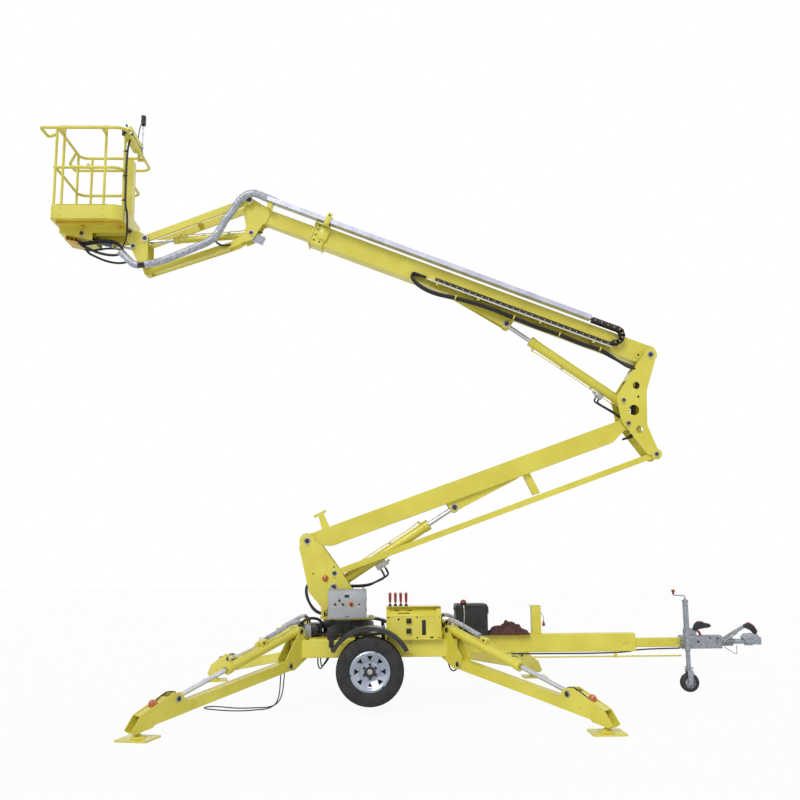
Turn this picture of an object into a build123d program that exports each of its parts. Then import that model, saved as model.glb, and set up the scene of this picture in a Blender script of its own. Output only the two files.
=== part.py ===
import math
import os

from build123d import *

os.makedirs("parts", exist_ok=True)

# Towable boom lift standing on its four outriggers, booms raised.
# Millimetres. +X towards the coupling, -Y is the operator's side, Z = 0 under the outrigger pads.
# A "member" plane has local x along the member and local y upwards across it.

# Running clearances
pin_clearance = 0.3
side_clearance = 3
slide_clearance = 0.5

# Cylinder glands
gland_length = 56
gland_step = 6

# Steel thicknesses
tube_wall = 6
thin_wall = 5
plate = 12

# Wheels and axle
axle_x = -306
tyre_radius = 344
tyre_width = 205
tyre_corner = 34
wheel_centre_z = 412
wheel_y = 748
rim_radius = 203
rim_flange_width = 170
rim_wall = 9
disc_offset = 30
hub_radius = 62
hub_cap_radius = 40
spoke_holes = 8
spoke_hole_circle = 140
spoke_hole_radius = 34
stud_circle = 139.7
stud_count = 6
spindle_radius = 30
axle_beam = 80
trailing_reach = 140

# Mudguards
guard_gap = 96
guard_width = 230
guard_thickness = 4
guard_start = 28
guard_end = 152

# Chassis
frame_centre_x = axle_x + 43
frame_half_length = 862
frame_half_width = 520
rail_width = 80
rail_height = 180
rail_bottom = 520
rail_top = rail_bottom + rail_height
deck_thickness = 12

# Outriggers
leg_turn = 50
hinge_x = 900
hinge_y = 600
hinge_z = 456
leg_slope = 10.2
leg_height = 100
leg_width = 100
leg_length = 1905
leg_wall = 6
leg_pin_radius = 20
jack_pin_back = 149
jack_pin_up = 335
jack_eye_along = 1405
jack_eye_up = 96
jack_barrel = 990
jack_barrel_radius = 46
jack_rod_radius = 22
jack_rod_length = 1010
foot_along = 1783
pad_size = 300
pad_thickness = 16
ball_radius = 21

# Slewing turret
slew_x = axle_x - 250
slew_ring_radius = 285
slew_ring_bottom = 790
turntable_z = 885
turntable_radius = 300
turntable_thickness = 20
turret_inside = 125
turret_plate = 15
box_gap = 12
pin_radius = 25
boss_radius = 46

# Riser with its parallel links
riser_foot = (axle_x - 687, 1722)
riser_length = 3810
riser_angle = 19.6
riser_width = 180
riser_above = 65
riser_below = 140
riser_end_cut = 230
link_offset = (300, -350)
link_pin_radius = 20
link_height = 65
link_width = 44
link_centre_y = 95
riser_stow_turn = -27

# Riser cylinder
riser_jack_foot = (axle_x - 395, 1226)
riser_jack_eye = (1650, -208)
riser_barrel = 1237
riser_barrel_radius = 55
window_length = 520
window_gap = 60
window_clearance = 8
riser_rod_length = 1225
large_rod_radius = 25
eye_width = 80

# Knuckle
knuckle_plate_y = 125
boom_pivot_offset = (290, 786)
boom_jack_foot_offset = (-41, 263)

# Telescopic boom
boom_angle = 158.9
boom_width = 180
boom_above = 105
boom_below = 130
outer_length = 4127
inner_width = 140
inner_above = 67
inner_below = 101
inner_start = 360
inner_end = 4700
boom_jack_eye = (1649, -225)
boom_barrel = 1240
boom_barrel_radius = 54
boom_rod_length = 1260
slot_reach_back = 300
slot_reach_front = 130

# Hose tray and energy chain
tray_start = 778
tray_end = 4736
tray_bottom = 125
tray_depth = 52
tray_width = 110
tray_wall = 3
tray_y = -155
chain_height = 40
chain_width = 84
chain_floor = -84
track_start = 452
track_end = 2680

# Jib
jib_arm = 1272
jib_angle = 201.3
jib_link_offset = (20, -375)
tip_pin = (4931, 72)
tip_plate_y = 85
jib_bar_y = 119
jib_bar_width = 36
jib_bar_height = 78
jib_barrel = 900
jib_barrel_radius = 38
jib_rod_radius = 18
jib_rod_length = 870
head_plate_y = 141

# Basket
tub_left = axle_x - 3550
tub_right = axle_x - 2750
tub_half_width = 450
tub_z = 5290
tub_wall = 4
tub_corner = 130
tub_left_corner = 24
toe_board_height = 170
rail_tube_radius = 17
post_radius = 15
top_rail_z = 6385
mid_rail_z = 5905
guard_z = 6300
guard_y = 600
guard_left = axle_x - 3652
guard_right = axle_x - 2712
back_post_top = 6154
console_height = 100
basket_pin_offset = (-172, 79)
levelling_pin_offset = (-129, -92)
level_foot = (axle_x - 3273, 5210)
level_box_y = 190
level_eye = 25

# Drawbar and coupling
drawbar_end = axle_x + 2880
drawbar_height = 193
drawbar_bottom = 509
drawbar_width = 150
inner_bar_end = axle_x + 3385
inner_bar_height = 96
inner_bar_bottom = 549
inner_bar_width = 90
brake_rod_y = -40
brake_rod_z = 455
jockey_x = axle_x + 3408
jockey_y = -195
jockey_wheel_radius = 100
jockey_wheel_z = 193
jockey_tube_radius = 30
jockey_leg_radius = 24
coupling_ball_radius = 25
coupling_x = axle_x + 4234
housing_half_width = 55
housing_length = 450
lever_pivot = (axle_x + 3800, 600)
lever_tip = (axle_x + 4063, 752)

# Boxes on the chassis
hydraulic_left = axle_x + 170
hydraulic_right = axle_x + 738
hydraulic_near = -585
hydraulic_far = -330
hydraulic_top = 1030
pack_left = axle_x + 925
pack_right = axle_x + 1268
pack_half_width = 170
pack_top = 1030
cover_right = axle_x + 1730
cover_top = 850

# Cable that hangs from the frame's end and lies on the ground
cable_radius = 6
cable_route = ((-819, -400, 560), (-885, -400, 560), (-925, -400, 500), (-930, -410, 300), (-945, -415, 90),
               (-1030, -430, 11), (-1180, -500, 11), (-1330, -560, 11), (-1520, -500, 11), (-1690, -400, 11),
               (-1745, -300, 11), (-1680, -220, 11), (-1550, -270, 11), (-1380, -380, 11), (-1200, -360, 11),
               (-1020, -330, 11), (-925, -330, 90), (-900, -335, 300), (-895, -340, 470), (-860, -340, 540),
               (-819, -340, 540))


def polar(start, length, angle):
    """Point at a length and an angle in degrees from a start point in the X-Z plane."""
    turn = math.radians(angle)
    return (start[0] + length * math.cos(turn), start[1] + length * math.sin(turn))


def shifted(start, offset):
    """Point moved by an offset in the X-Z plane."""
    return (start[0] + offset[0], start[1] + offset[1])


def member(start, angle, y=0):
    """Plane whose x runs along a member in the X-Z plane and whose y points up across it."""
    turn = math.radians(angle)
    facing = -1 if math.cos(turn) > 0 else 1
    return Plane(origin=(start[0], y, start[1]), x_dir=(math.cos(turn), 0, math.sin(turn)), z_dir=(0, facing, 0))


def side_plane(y):
    """Plane seen from the operator's side: local x is X, local y is Z."""
    return Plane(origin=(0, y, 0), x_dir=(1, 0, 0), z_dir=(0, -1, 0))


def on_member(start, angle, place):
    """Point at (along, up) on a member."""
    turn = math.radians(angle)
    up = (-math.sin(turn), math.cos(turn)) if math.cos(turn) > 0 else (math.sin(turn), -math.cos(turn))
    return (start[0] + place[0] * math.cos(turn) + place[1] * up[0],
            start[1] + place[0] * math.sin(turn) + place[1] * up[1])


def angle_between(first, second):
    """Angle in degrees of the line from the first point to the second."""
    return math.degrees(math.atan2(second[1] - first[1], second[0] - first[0]))


def along_cylinder(side, distance):
    """Plane across a cylinder at a distance from its foot pin, given its side plane."""
    return Plane(origin=side.origin + side.x_dir * distance, x_dir=side.z_dir, z_dir=side.x_dir)


def build_barrel(side, length, radius, rod_radius, pin, half_width):
    """Barrel along a side plane's x from its foot pin, bored for the rod and the pin."""
    with BuildPart() as barrel:
        with BuildSketch(along_cylinder(side, pin)):
            Circle(radius)
        extrude(amount=length - pin)
        with BuildSketch(along_cylinder(side, length - gland_length)):
            Circle(radius + gland_step)
        extrude(amount=gland_length)
        with BuildSketch(side):
            Circle(radius - 4)
        extrude(amount=half_width, both=True)
        with BuildSketch(along_cylinder(side, radius + 20)):
            Circle(rod_radius + pin_clearance)
        extrude(amount=length, mode=Mode.SUBTRACT)
        with BuildSketch(side):
            Circle(pin + pin_clearance)
        extrude(amount=2 * half_width, both=True, mode=Mode.SUBTRACT)
    return barrel


def build_rod(side, reach, rod_length, rod_radius, eye_radius, half_width):
    """Rod that ends in an eye at its reach from the barrel's foot pin."""
    with BuildPart() as rod:
        with BuildSketch(along_cylinder(side, reach - rod_length)):
            Circle(rod_radius)
        extrude(amount=rod_length - eye_radius / 2)
        with BuildSketch(Plane(origin=side.origin + side.x_dir * reach, x_dir=side.x_dir, z_dir=side.z_dir)):
            Circle(eye_radius)
        extrude(amount=half_width, both=True)
    return rod


def finish(builder, name):
    """Label a sub-part and write it."""
    builder.part.label = name
    export_step(builder.part, f"parts/{name}.step")


knuckle_pin = polar(riser_foot, riser_length, riser_angle)
link_foot = shifted(riser_foot, link_offset)
link_head = shifted(knuckle_pin, link_offset)
boom_pivot = shifted(knuckle_pin, boom_pivot_offset)
boom_jack_foot = shifted(knuckle_pin, boom_jack_foot_offset)
riser_eye = on_member(riser_foot, riser_angle, riser_jack_eye)
boom_eye = on_member(boom_pivot, boom_angle, boom_jack_eye)
jib_pin = on_member(boom_pivot, boom_angle, tip_pin)
jib_link_pin = shifted(jib_pin, jib_link_offset)
head_pin = polar(jib_pin, jib_arm, jib_angle)
head_link_pin = shifted(head_pin, jib_link_offset)
basket_pin = shifted(head_pin, basket_pin_offset)
levelling_pin = shifted(head_pin, levelling_pin_offset)

# Tyres and rims, one of each on both sides
for side_name, side in (("near", -1), ("far", 1)):
    wheel_plane = Plane(origin=(axle_x, side * wheel_y, wheel_centre_z), x_dir=(0, side, 0), z_dir=(side, 0, 0))

    with BuildPart() as tyre:
        with BuildSketch(wheel_plane) as tyre_section:
            with Locations((0, (tyre_radius + rim_radius) / 2)):
                Rectangle(tyre_width, tyre_radius - rim_radius)
            tread_corners = tyre_section.vertices().group_by(Axis.Z)[-1]
            fillet(tread_corners, tyre_corner)
        revolve(axis=Axis((axle_x, 0, wheel_centre_z), (0, 1, 0)))
    finish(tyre, f"tyre_{side_name}")

    with BuildPart() as rim:
        with BuildSketch(wheel_plane):
            with BuildLine():
                half = rim_flange_width / 2
                seat = rim_radius - pin_clearance
                Polyline((-half, seat - rim_wall), (-half, seat), (half, seat), (half, seat - rim_wall),
                         (disc_offset + 60, seat - 2 * rim_wall), (disc_offset + 30, 130), (disc_offset + 14, 96),
                         (disc_offset + 14, hub_radius), (disc_offset + 50, hub_radius - 8),
                         (disc_offset + 50, hub_cap_radius), (disc_offset + 4, hub_cap_radius),
                         (disc_offset + 4, 100), (disc_offset + 18, 134), (disc_offset + 40, seat - 2 * rim_wall),
                         (-half + 20, seat - 2 * rim_wall), close=True)
            make_face()
        revolve(axis=Axis((axle_x, 0, wheel_centre_z), (0, 1, 0)))
        with BuildSketch(Plane(origin=(axle_x, side * wheel_y, wheel_centre_z), x_dir=(1, 0, 0),
                               z_dir=(0, side, 0))):
            with PolarLocations(spoke_hole_circle, spoke_holes):
                RegularPolygon(spoke_hole_radius, 3, rotation=180)
        extrude(amount=140, mode=Mode.SUBTRACT)
        with BuildSketch(Plane(origin=(axle_x, side * (wheel_y + disc_offset + 14), wheel_centre_z),
                               x_dir=(1, 0, 0), z_dir=(0, side, 0))):
            with PolarLocations(stud_circle / 2 + 12, stud_count, start_angle=30):
                Circle(9)
        extrude(amount=12)
        with BuildSketch(Plane(origin=(axle_x, side * (wheel_y + disc_offset + 50), wheel_centre_z),
                               x_dir=(1, 0, 0), z_dir=(0, side, 0))):
            Circle(hub_cap_radius + 4)
        extrude(amount=14, taper=18)
    finish(rim, f"rim_{side_name}")

# Axle: cross beam under the rails, trailing arms and spindles
with BuildPart() as axle:
    beam_z = rail_bottom - axle_beam / 2
    beam_x = axle_x + trailing_reach
    with BuildSketch(Plane(origin=(beam_x, 0, beam_z), x_dir=(1, 0, 0), z_dir=(0, -1, 0))):
        Rectangle(axle_beam, axle_beam)
    extrude(amount=570, both=True)
    wheel_centre = (axle_x, wheel_centre_z)
    beam_centre = (beam_x, beam_z)
    arm_length = math.dist(wheel_centre, beam_centre)
    for side in (-1, 1):
        with BuildSketch(member(wheel_centre, angle_between(wheel_centre, beam_centre), side * 570)):
            with Locations((arm_length / 2, 0)):
                SlotCenterToCenter(arm_length, 88)
        extrude(amount=15, both=True)
        with BuildSketch(Plane(origin=(axle_x, side * 580, wheel_centre_z), x_dir=(1, 0, 0), z_dir=(0, side, 0))):
            Circle(125)
        extrude(amount=62)
        with BuildSketch(Plane(origin=(axle_x, side * 640, wheel_centre_z), x_dir=(1, 0, 0), z_dir=(0, side, 0))):
            Circle(hub_radius)
        extrude(amount=wheel_y + disc_offset + 4 - pin_clearance - 640)
        with BuildSketch(Plane(origin=(axle_x, side * 640, wheel_centre_z), x_dir=(1, 0, 0), z_dir=(0, side, 0))):
            Circle(spindle_radius)
        extrude(amount=wheel_y + disc_offset + 44 - 640)
finish(axle, "axle")

# Mudguards: one rolled strip a side on two stays
with BuildPart() as mudguards:
    guard_radius = tyre_radius + guard_gap
    for side in (-1, 1):
        guard_plane = Plane(origin=(axle_x, side * wheel_y, wheel_centre_z), x_dir=(1, 0, 0), z_dir=(0, -1, 0))
        with BuildSketch(guard_plane):
            with BuildLine():
                CenterArc((0, 0), guard_radius, guard_start, guard_end - guard_start)
                CenterArc((0, 0), guard_radius - guard_thickness, guard_start, guard_end - guard_start)
                for end_angle in (guard_start, guard_end):
                    turn = math.radians(end_angle)
                    reach = (math.cos(turn), math.sin(turn))
                    Line((guard_radius * reach[0], guard_radius * reach[1]),
                         ((guard_radius - guard_thickness) * reach[0], (guard_radius - guard_thickness) * reach[1]))
            make_face()
        extrude(amount=guard_width / 2, both=True)
        for stay_angle in (72, 108):
            turn = math.radians(stay_angle)
            stay_x = axle_x + guard_radius * math.cos(turn)
            stay_top = wheel_centre_z + guard_radius * math.sin(turn) + 4
            stay_y = side * (frame_half_width + 6 + pin_clearance)
            with BuildSketch(Plane(origin=(stay_x, stay_y, (stay_top + rail_top - 90) / 2),
                                   x_dir=(1, 0, 0), z_dir=(0, 1, 0))):
                Rectangle(40, stay_top - rail_top + 90)
            extrude(amount=6, both=True)
            with BuildSketch(Plane(origin=(stay_x, side * (frame_half_width + 80), stay_top),
                                   x_dir=(1, 0, 0), z_dir=(0, 0, 1))):
                Rectangle(40, 160 - 2 * pin_clearance)
            extrude(amount=4, both=True)
finish(mudguards, "mudguards")

# Chassis frame: two rails, cross members, slew deck and four outrigger brackets
with BuildPart() as chassis_frame:
    rail_mid = (rail_top + rail_bottom) / 2
    for side in (-1, 1):
        with BuildSketch(Plane(origin=(frame_centre_x, side * (frame_half_width - rail_width / 2), rail_mid),
                               x_dir=(0, 1, 0), z_dir=(1, 0, 0))) as rail_section:
            Rectangle(rail_width, rail_height)
            fillet(rail_section.vertices(), 10)
            Rectangle(rail_width - 2 * tube_wall, rail_height - 2 * tube_wall, mode=Mode.SUBTRACT)
        extrude(amount=frame_half_length, both=True)
    inside = frame_half_width - rail_width
    # cross members, folded channels open at the bottom
    for cross_x in (-frame_half_length + 50, -330, 290, frame_half_length - 50):
        with BuildSketch(Plane(origin=(frame_centre_x + cross_x, 0, rail_mid), x_dir=(1, 0, 0), z_dir=(0, 1, 0))):
            Rectangle(100, rail_height)
            with Locations((0, tube_wall)):
                Rectangle(100 - 2 * tube_wall, rail_height, mode=Mode.SUBTRACT)
        extrude(amount=inside + 1, both=True)
    with BuildSketch(Plane.XY.offset(rail_top)):
        with Locations((slew_x, 0)):
            Rectangle(760, 2 * inside + 60)
    extrude(amount=deck_thickness)
    for x_side in (-1, 1):
        for y_side in (-1, 1):
            turn = math.radians(leg_turn)
            outward = (x_side * math.cos(turn), y_side * math.sin(turn), 0)
            hinge = (frame_centre_x + x_side * hinge_x, y_side * hinge_y, 0)
            across = (-outward[1], outward[0], 0)
            for cheek in (-1, 1):
                offset_y = cheek * (leg_width / 2 + side_clearance + plate / 2)
                cheek_plane = Plane(origin=(hinge[0] + across[0] * offset_y, hinge[1] + across[1] * offset_y, 0),
                                    x_dir=outward, z_dir=(outward[1], -outward[0], 0))
                with BuildSketch(cheek_plane):
                    with BuildLine():
                        Polyline((-300, rail_bottom + 30), (-60, hinge_z - 46), (0, hinge_z - 46),
                                 (44, hinge_z), (60, hinge_z + 70),
                                 (-jack_pin_back + 48, hinge_z + jack_pin_up - 40),
                                 (-jack_pin_back + 34, hinge_z + jack_pin_up + 30),
                                 (-jack_pin_back - 20, hinge_z + jack_pin_up + 44),
                                 (-jack_pin_back - 52, hinge_z + jack_pin_up + 10),
                                 (-jack_pin_back - 80, rail_top - 4), (-300, rail_top - 20), close=True)
                    make_face()
                    with Locations((-18, hinge_z), (-jack_pin_back, hinge_z + jack_pin_up)):
                        Circle(46)
                extrude(amount=plate / 2, both=True)
            # hinge pin of the leg and the cylinder's foot pin, from cheek to cheek
            for along, height in ((0, hinge_z), (-jack_pin_back, hinge_z + jack_pin_up)):
                pin_plane = Plane(origin=(hinge[0] + outward[0] * along, hinge[1] + outward[1] * along, height),
                                  x_dir=outward, z_dir=(outward[1], -outward[0], 0))
                with BuildSketch(pin_plane):
                    Circle(leg_pin_radius)
                extrude(amount=leg_width / 2 + side_clearance + plate + 8, both=True)
finish(chassis_frame, "chassis_frame")

# Outrigger legs, feet and cylinders, one set per corner
corners = (("near_left", -1, -1, -13), ("near_right", 1, -1, 0), ("far_left", -1, 1, 13), ("far_right", 1, 1, 0))
for corner, x_side, y_side, pad_turn in corners:
    turn = math.radians(leg_turn)
    outward = (x_side * math.cos(turn), y_side * math.sin(turn), 0)
    hinge = (frame_centre_x + x_side * hinge_x, y_side * hinge_y, hinge_z)
    slope = math.radians(leg_slope)
    down_leg = (outward[0] * math.cos(slope), outward[1] * math.cos(slope), -math.sin(slope))
    facing = (outward[1], -outward[0], 0)
    leg_plane = Plane(origin=hinge, x_dir=down_leg, z_dir=facing)
    upright = Plane(origin=hinge, x_dir=outward, z_dir=facing)
    half_height = leg_height / 2

    with BuildPart() as leg:
        with BuildSketch(leg_plane):
            with BuildLine():
                Polyline((0, half_height), (jack_eye_along - 95, half_height),
                         (jack_eye_along - 95, -half_height), (0, -half_height), close=True)
            make_face()
            Circle(half_height)
        extrude(amount=leg_width / 2, both=True)
        with BuildSketch(leg_plane):
            with Locations(((half_height + jack_eye_along - 95) / 2, 0)):
                Rectangle(jack_eye_along - 95 - half_height - 2 * leg_wall - 20, leg_height - 2 * leg_wall)
        extrude(amount=leg_width / 2 - leg_wall, both=True, mode=Mode.SUBTRACT)
        for cheek in (-1, 1):
            offset_y = cheek * (leg_width / 2 + leg_wall / 2)
            with BuildSketch(Plane(origin=(hinge[0] + facing[0] * offset_y, hinge[1] + facing[1] * offset_y,
                                           hinge_z), x_dir=down_leg, z_dir=facing)) as cheek_sketch:
                with BuildLine():
                    Polyline((jack_eye_along - 100, -half_height), (leg_length - 230, -half_height),
                             (leg_length - 180, -66), (leg_length - 20, -68), (leg_length + 20, -33),
                             (leg_length - 86, 70), (jack_eye_along + 100, 150), (jack_eye_along + 40, 166),
                             (jack_eye_along - 60, 120), (jack_eye_along - 80, half_height),
                             (jack_eye_along - 180, half_height - 10), close=True)
                make_face()
                with Locations((jack_eye_along, jack_eye_up)):
                    Circle(56)
            extrude(amount=leg_wall / 2, both=True)
        # bottom plate, end plate and foot plate between the cheeks
        with BuildSketch(leg_plane):
            with Locations(((jack_eye_along + leg_length - 330) / 2, -half_height + leg_wall / 2)):
                Rectangle(leg_length - 230 - jack_eye_along + 100, leg_wall)
            with Locations((leg_length - 110, -62)):
                Rectangle(190, 12)
            with BuildLine():
                Polyline((jack_eye_along + 104, 142), (leg_length - 90, 64), (leg_length - 94, 58),
                         (jack_eye_along + 100, 136), close=True)
            make_face()
        extrude(amount=leg_width / 2 + 1, both=True)
        # stub pins for the rod's eye, with the eye free between them
        for stub in (-1, 1):
            near = stub * (eye_width / 2 + side_clearance)
            with BuildSketch(Plane(origin=(hinge[0] + facing[0] * near, hinge[1] + facing[1] * near, hinge_z),
                                   x_dir=down_leg, z_dir=(facing[0] * stub, facing[1] * stub, 0))):
                with Locations((jack_eye_along, jack_eye_up * stub)):
                    Circle(leg_pin_radius + 2)
            extrude(amount=leg_width / 2 + leg_wall - eye_width / 2 - side_clearance + 8)
        with BuildSketch(leg_plane):
            Circle(leg_pin_radius + pin_clearance)
        extrude(amount=leg_width, both=True, mode=Mode.SUBTRACT)
        foot_x = hinge[0] + outward[0] * foot_along
        foot_y = hinge[1] + outward[1] * foot_along
    finish(leg, f"leg_{corner}")

    with BuildPart() as foot:
        pad_plane = Plane(origin=(foot_x, foot_y, 0), x_dir=(math.cos(math.radians(pad_turn)),
                          math.sin(math.radians(pad_turn)), 0), z_dir=(0, 0, 1))
        with BuildSketch(pad_plane) as pad_sketch:
            Rectangle(pad_size, pad_size)
            fillet(pad_sketch.vertices(), 14)
        extrude(amount=pad_thickness)
        with BuildSketch(pad_plane.offset(pad_thickness)):
            Circle(74)
        extrude(amount=16, taper=40)
        with BuildSketch(pad_plane.offset(pad_thickness)):
            Circle(40)
        extrude(amount=26, taper=8)
        with BuildSketch(pad_plane.offset(pad_thickness)):
            Circle(ball_radius)
        extrude(amount=46)
    finish(foot, f"foot_{corner}")

    jack_foot = (-jack_pin_back, jack_pin_up)
    eye_place = (jack_eye_along * math.cos(slope) + jack_eye_up * math.sin(slope),
                 -jack_eye_along * math.sin(slope) + jack_eye_up * math.cos(slope))
    jack_rest = math.dist(jack_foot, eye_place)
    jack_slope = math.radians(angle_between(jack_foot, eye_place))
    jack_dir = (outward[0] * math.cos(jack_slope), outward[1] * math.cos(jack_slope), math.sin(jack_slope))
    jack_origin = (hinge[0] + outward[0] * jack_foot[0], hinge[1] + outward[1] * jack_foot[0],
                   hinge_z + jack_foot[1])
    jack_side = Plane(origin=jack_origin, x_dir=jack_dir, z_dir=facing)
    finish(build_barrel(jack_side, jack_barrel, jack_barrel_radius, jack_rod_radius, leg_pin_radius, leg_width / 2),
           f"leg_barrel_{corner}")
    finish(build_rod(jack_side, jack_rest, jack_rod_length, jack_rod_radius, 38, eye_width / 2),
           f"leg_rod_{corner}")

# Slew ring: pedestal, toothed ring and worm housing
with BuildPart() as slew_ring:
    with BuildSketch(Plane.XY.offset(rail_top + deck_thickness)):
        with Locations((slew_x, 0)):
            Circle(slew_ring_radius - 20)
            Circle(slew_ring_radius - 90, mode=Mode.SUBTRACT)
    extrude(amount=turntable_z - rail_top - deck_thickness - pin_clearance)
    with BuildSketch(Plane.XY.offset(slew_ring_bottom)):
        with Locations((slew_x, 0)):
            Circle(slew_ring_radius)
            Circle(slew_ring_radius - 90, mode=Mode.SUBTRACT)
    extrude(amount=60)
    with BuildSketch(Plane.XY.offset(rail_top + deck_thickness)):
        with Locations((slew_x - 340, 0)):
            Rectangle(130, 220)
    extrude(amount=130)
    with BuildSketch(Plane(origin=(slew_x - 350, -110, 780), x_dir=(1, 0, 0), z_dir=(0, -1, 0))):
        Circle(50)
    extrude(amount=170)
finish(slew_ring, "slew_ring")

# Turret: turntable disc, two side plates, cross plates and pins
with BuildPart() as turret:
    with BuildSketch(Plane.XY.offset(turntable_z)):
        with Locations((slew_x, 0)):
            Circle(turntable_radius)
            Circle(120, mode=Mode.SUBTRACT)
    extrude(amount=turntable_thickness)
    for side in (-1, 1):
        with BuildSketch(side_plane(side * (turret_inside + turret_plate / 2))):
            with BuildLine():
                Polyline((axle_x - 531, turntable_z + 10), (axle_x - 531, 1014), (axle_x - 663, 1172),
                         (axle_x - 775, 1660), (riser_foot[0], riser_foot[1] + 72), (axle_x - 518, 1666),
                         (axle_x - 336, 1420), (axle_x - 192, 1204), (axle_x - 60, turntable_z + 10), close=True)
            make_face()
            with Locations(riser_foot):
                Circle(84)
        extrude(amount=turret_plate / 2, both=True)
    inner_half = turret_inside + 1
    for start, end in (((-531, 905), (-531, 1014)), ((-531, 1014), (-663, 1172)), ((-663, 1172), (-748, 1560))):
        first = (axle_x + start[0] + 6, start[1])
        second = (axle_x + end[0] + 6, end[1])
        with BuildSketch(member(first, angle_between(first, second))):
            with Locations((math.dist(first, second) / 2, 0)):
                Rectangle(math.dist(first, second), 12)
        extrude(amount=inner_half, both=True)
    for pin_place in (riser_foot, riser_jack_foot):
        with BuildSketch(member(pin_place, 0)):
            Circle(pin_radius)
        extrude(amount=turret_inside + turret_plate + 10, both=True)
    # the link turns on two stub pins, so the cylinder passes between them
    for side in (-1, 1):
        with BuildSketch(member(link_foot, 0, side * (link_centre_y - link_width / 2))):
            Circle(link_pin_radius)
        extrude(amount=-side * (turret_inside + turret_plate + 10 - link_centre_y + link_width / 2))
    # two spacers that hold the control box off the plate
    for spacer_z in (960, 1130):
        with BuildSketch(side_plane(-(turret_inside + turret_plate))):
            with Locations((axle_x - 380, spacer_z)):
                Rectangle(50, 40)
        extrude(amount=box_gap)
finish(turret, "turret")

# Control box beside the turret
with BuildPart() as control_box:
    box_back = -(turret_inside + turret_plate + box_gap + pin_clearance)
    with BuildSketch(Plane(origin=(axle_x - 241, -440, 1056), x_dir=(1, 0, 0), z_dir=(0, 1, 0))) as box_face:
        Rectangle(402, 298)
        fillet(box_face.vertices(), 10)
    extrude(amount=440 + box_back)
finish(control_box, "control_box")

# Riser boom: one tube with rounded ends, cylinder lug, saddle and rest strut
riser_side = member(riser_foot, riser_angle)
with BuildPart() as riser_boom:
    with BuildSketch(riser_side):
        with BuildLine():
            Polyline((0, riser_above), (riser_length, riser_above), (riser_length + 60, 0),
                     (riser_length - riser_end_cut, -riser_below), (riser_end_cut, -riser_below), (-60, -20),
                     close=True)
        make_face()
        with Locations((0, 0), (riser_length, 0)):
            Circle(riser_above)
    extrude(amount=riser_width / 2, both=True)
    with BuildSketch(riser_side):
        with Locations((riser_length / 2, (riser_above - riser_below) / 2)):
            Rectangle(riser_length - 2 * riser_end_cut - 20, riser_above + riser_below - 2 * tube_wall)
    extrude(amount=riser_width / 2 - tube_wall, both=True, mode=Mode.SUBTRACT)
    for end in (0, riser_length):
        with BuildSketch(riser_side):
            with Locations((end, 0)):
                Circle(boss_radius)
        extrude(amount=turret_inside - side_clearance, both=True)
        with BuildSketch(riser_side):
            with Locations((end, 0)):
                Circle(pin_radius + pin_clearance)
        extrude(amount=riser_width, both=True, mode=Mode.SUBTRACT)
    # opening in the bottom wall above the cylinder's eye
    with BuildSketch(riser_side):
        with Locations((riser_jack_eye[0] + (slot_reach_front - slot_reach_back) / 2, -riser_below)):
            Rectangle(slot_reach_back + slot_reach_front, 3 * tube_wall)
    extrude(amount=eye_width / 2 + side_clearance, both=True, mode=Mode.SUBTRACT)
    # wider window behind it, which takes the barrel when the riser is down
    with BuildSketch(riser_side):
        with Locations((riser_jack_eye[0] - window_gap - window_length / 2, -riser_below)):
            Rectangle(window_length, 3 * tube_wall)
    extrude(amount=riser_barrel_radius + window_clearance, both=True, mode=Mode.SUBTRACT)
    for side in (-1, 1):
        lug_y = side * (eye_width / 2 + side_clearance + plate / 2)
        with BuildSketch(member(riser_foot, riser_angle, lug_y)):
            with BuildLine():
                Polyline((riser_jack_eye[0] - 70, -riser_below + 4), (riser_jack_eye[0] - 56, riser_jack_eye[1]),
                         (riser_jack_eye[0] + 40, riser_jack_eye[1] - 40), (riser_jack_eye[0] + 780, -riser_below - 10),
                         (riser_jack_eye[0] + 800, -riser_below + 4), close=True)
            make_face()
            with Locations(riser_jack_eye):
                Circle(56)
        extrude(amount=plate / 2, both=True)
        with BuildSketch(member(riser_foot, riser_angle, side * (eye_width / 2 + side_clearance))):
            with Locations(riser_jack_eye):
                Circle(pin_radius)
        extrude(amount=-side * (plate + 8))
    # strut that lands on the boom rest
    with BuildSketch(riser_side):
        with BuildLine():
            Polyline((2500, -riser_below + 4), (2528, -385), (2608, -385), (2580, -riser_below + 4), close=True)
        make_face()
    extrude(amount=40, both=True)
    # saddle for the telescopic boom
    with BuildSketch(riser_side):
        with BuildLine():
            Polyline((190, riser_above - 4), (200, 225), (150, 219), (148, 239), (294, 258), (296, 238),
                     (262, 233), (275, riser_above - 4), close=True)
        make_face()
    extrude(amount=60, both=True)
finish(riser_boom, "riser_boom")

# Twin parallel link bars
with BuildPart() as riser_link:
    link_side = member(link_foot, riser_angle)
    for side in (-1, 1):
        bar_plane = member(link_foot, riser_angle, side * link_centre_y)
        with BuildSketch(bar_plane):
            with Locations((riser_length / 2, 0)):
                Rectangle(riser_length, link_height)
            with Locations((0, 0), (riser_length, 0)):
                Circle(link_height / 2 + 6)
                Circle(link_pin_radius + pin_clearance, mode=Mode.SUBTRACT)
        extrude(amount=link_width / 2, both=True)
    for along in (1150, 3300):
        with BuildSketch(link_side):
            with Locations((along, 0)):
                Rectangle(60, 10)
        extrude(amount=link_centre_y, both=True)
finish(riser_link, "riser_link")


# Riser cylinder
riser_jack_side = member(riser_jack_foot, angle_between(riser_jack_foot, riser_eye))
finish(build_barrel(riser_jack_side, riser_barrel, riser_barrel_radius, large_rod_radius, pin_radius,
                    link_centre_y - link_width / 2 - side_clearance), "riser_barrel")
finish(build_rod(riser_jack_side, math.dist(riser_jack_foot, riser_eye), riser_rod_length, large_rod_radius, 40,
                 eye_width / 2), "riser_rod")

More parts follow.
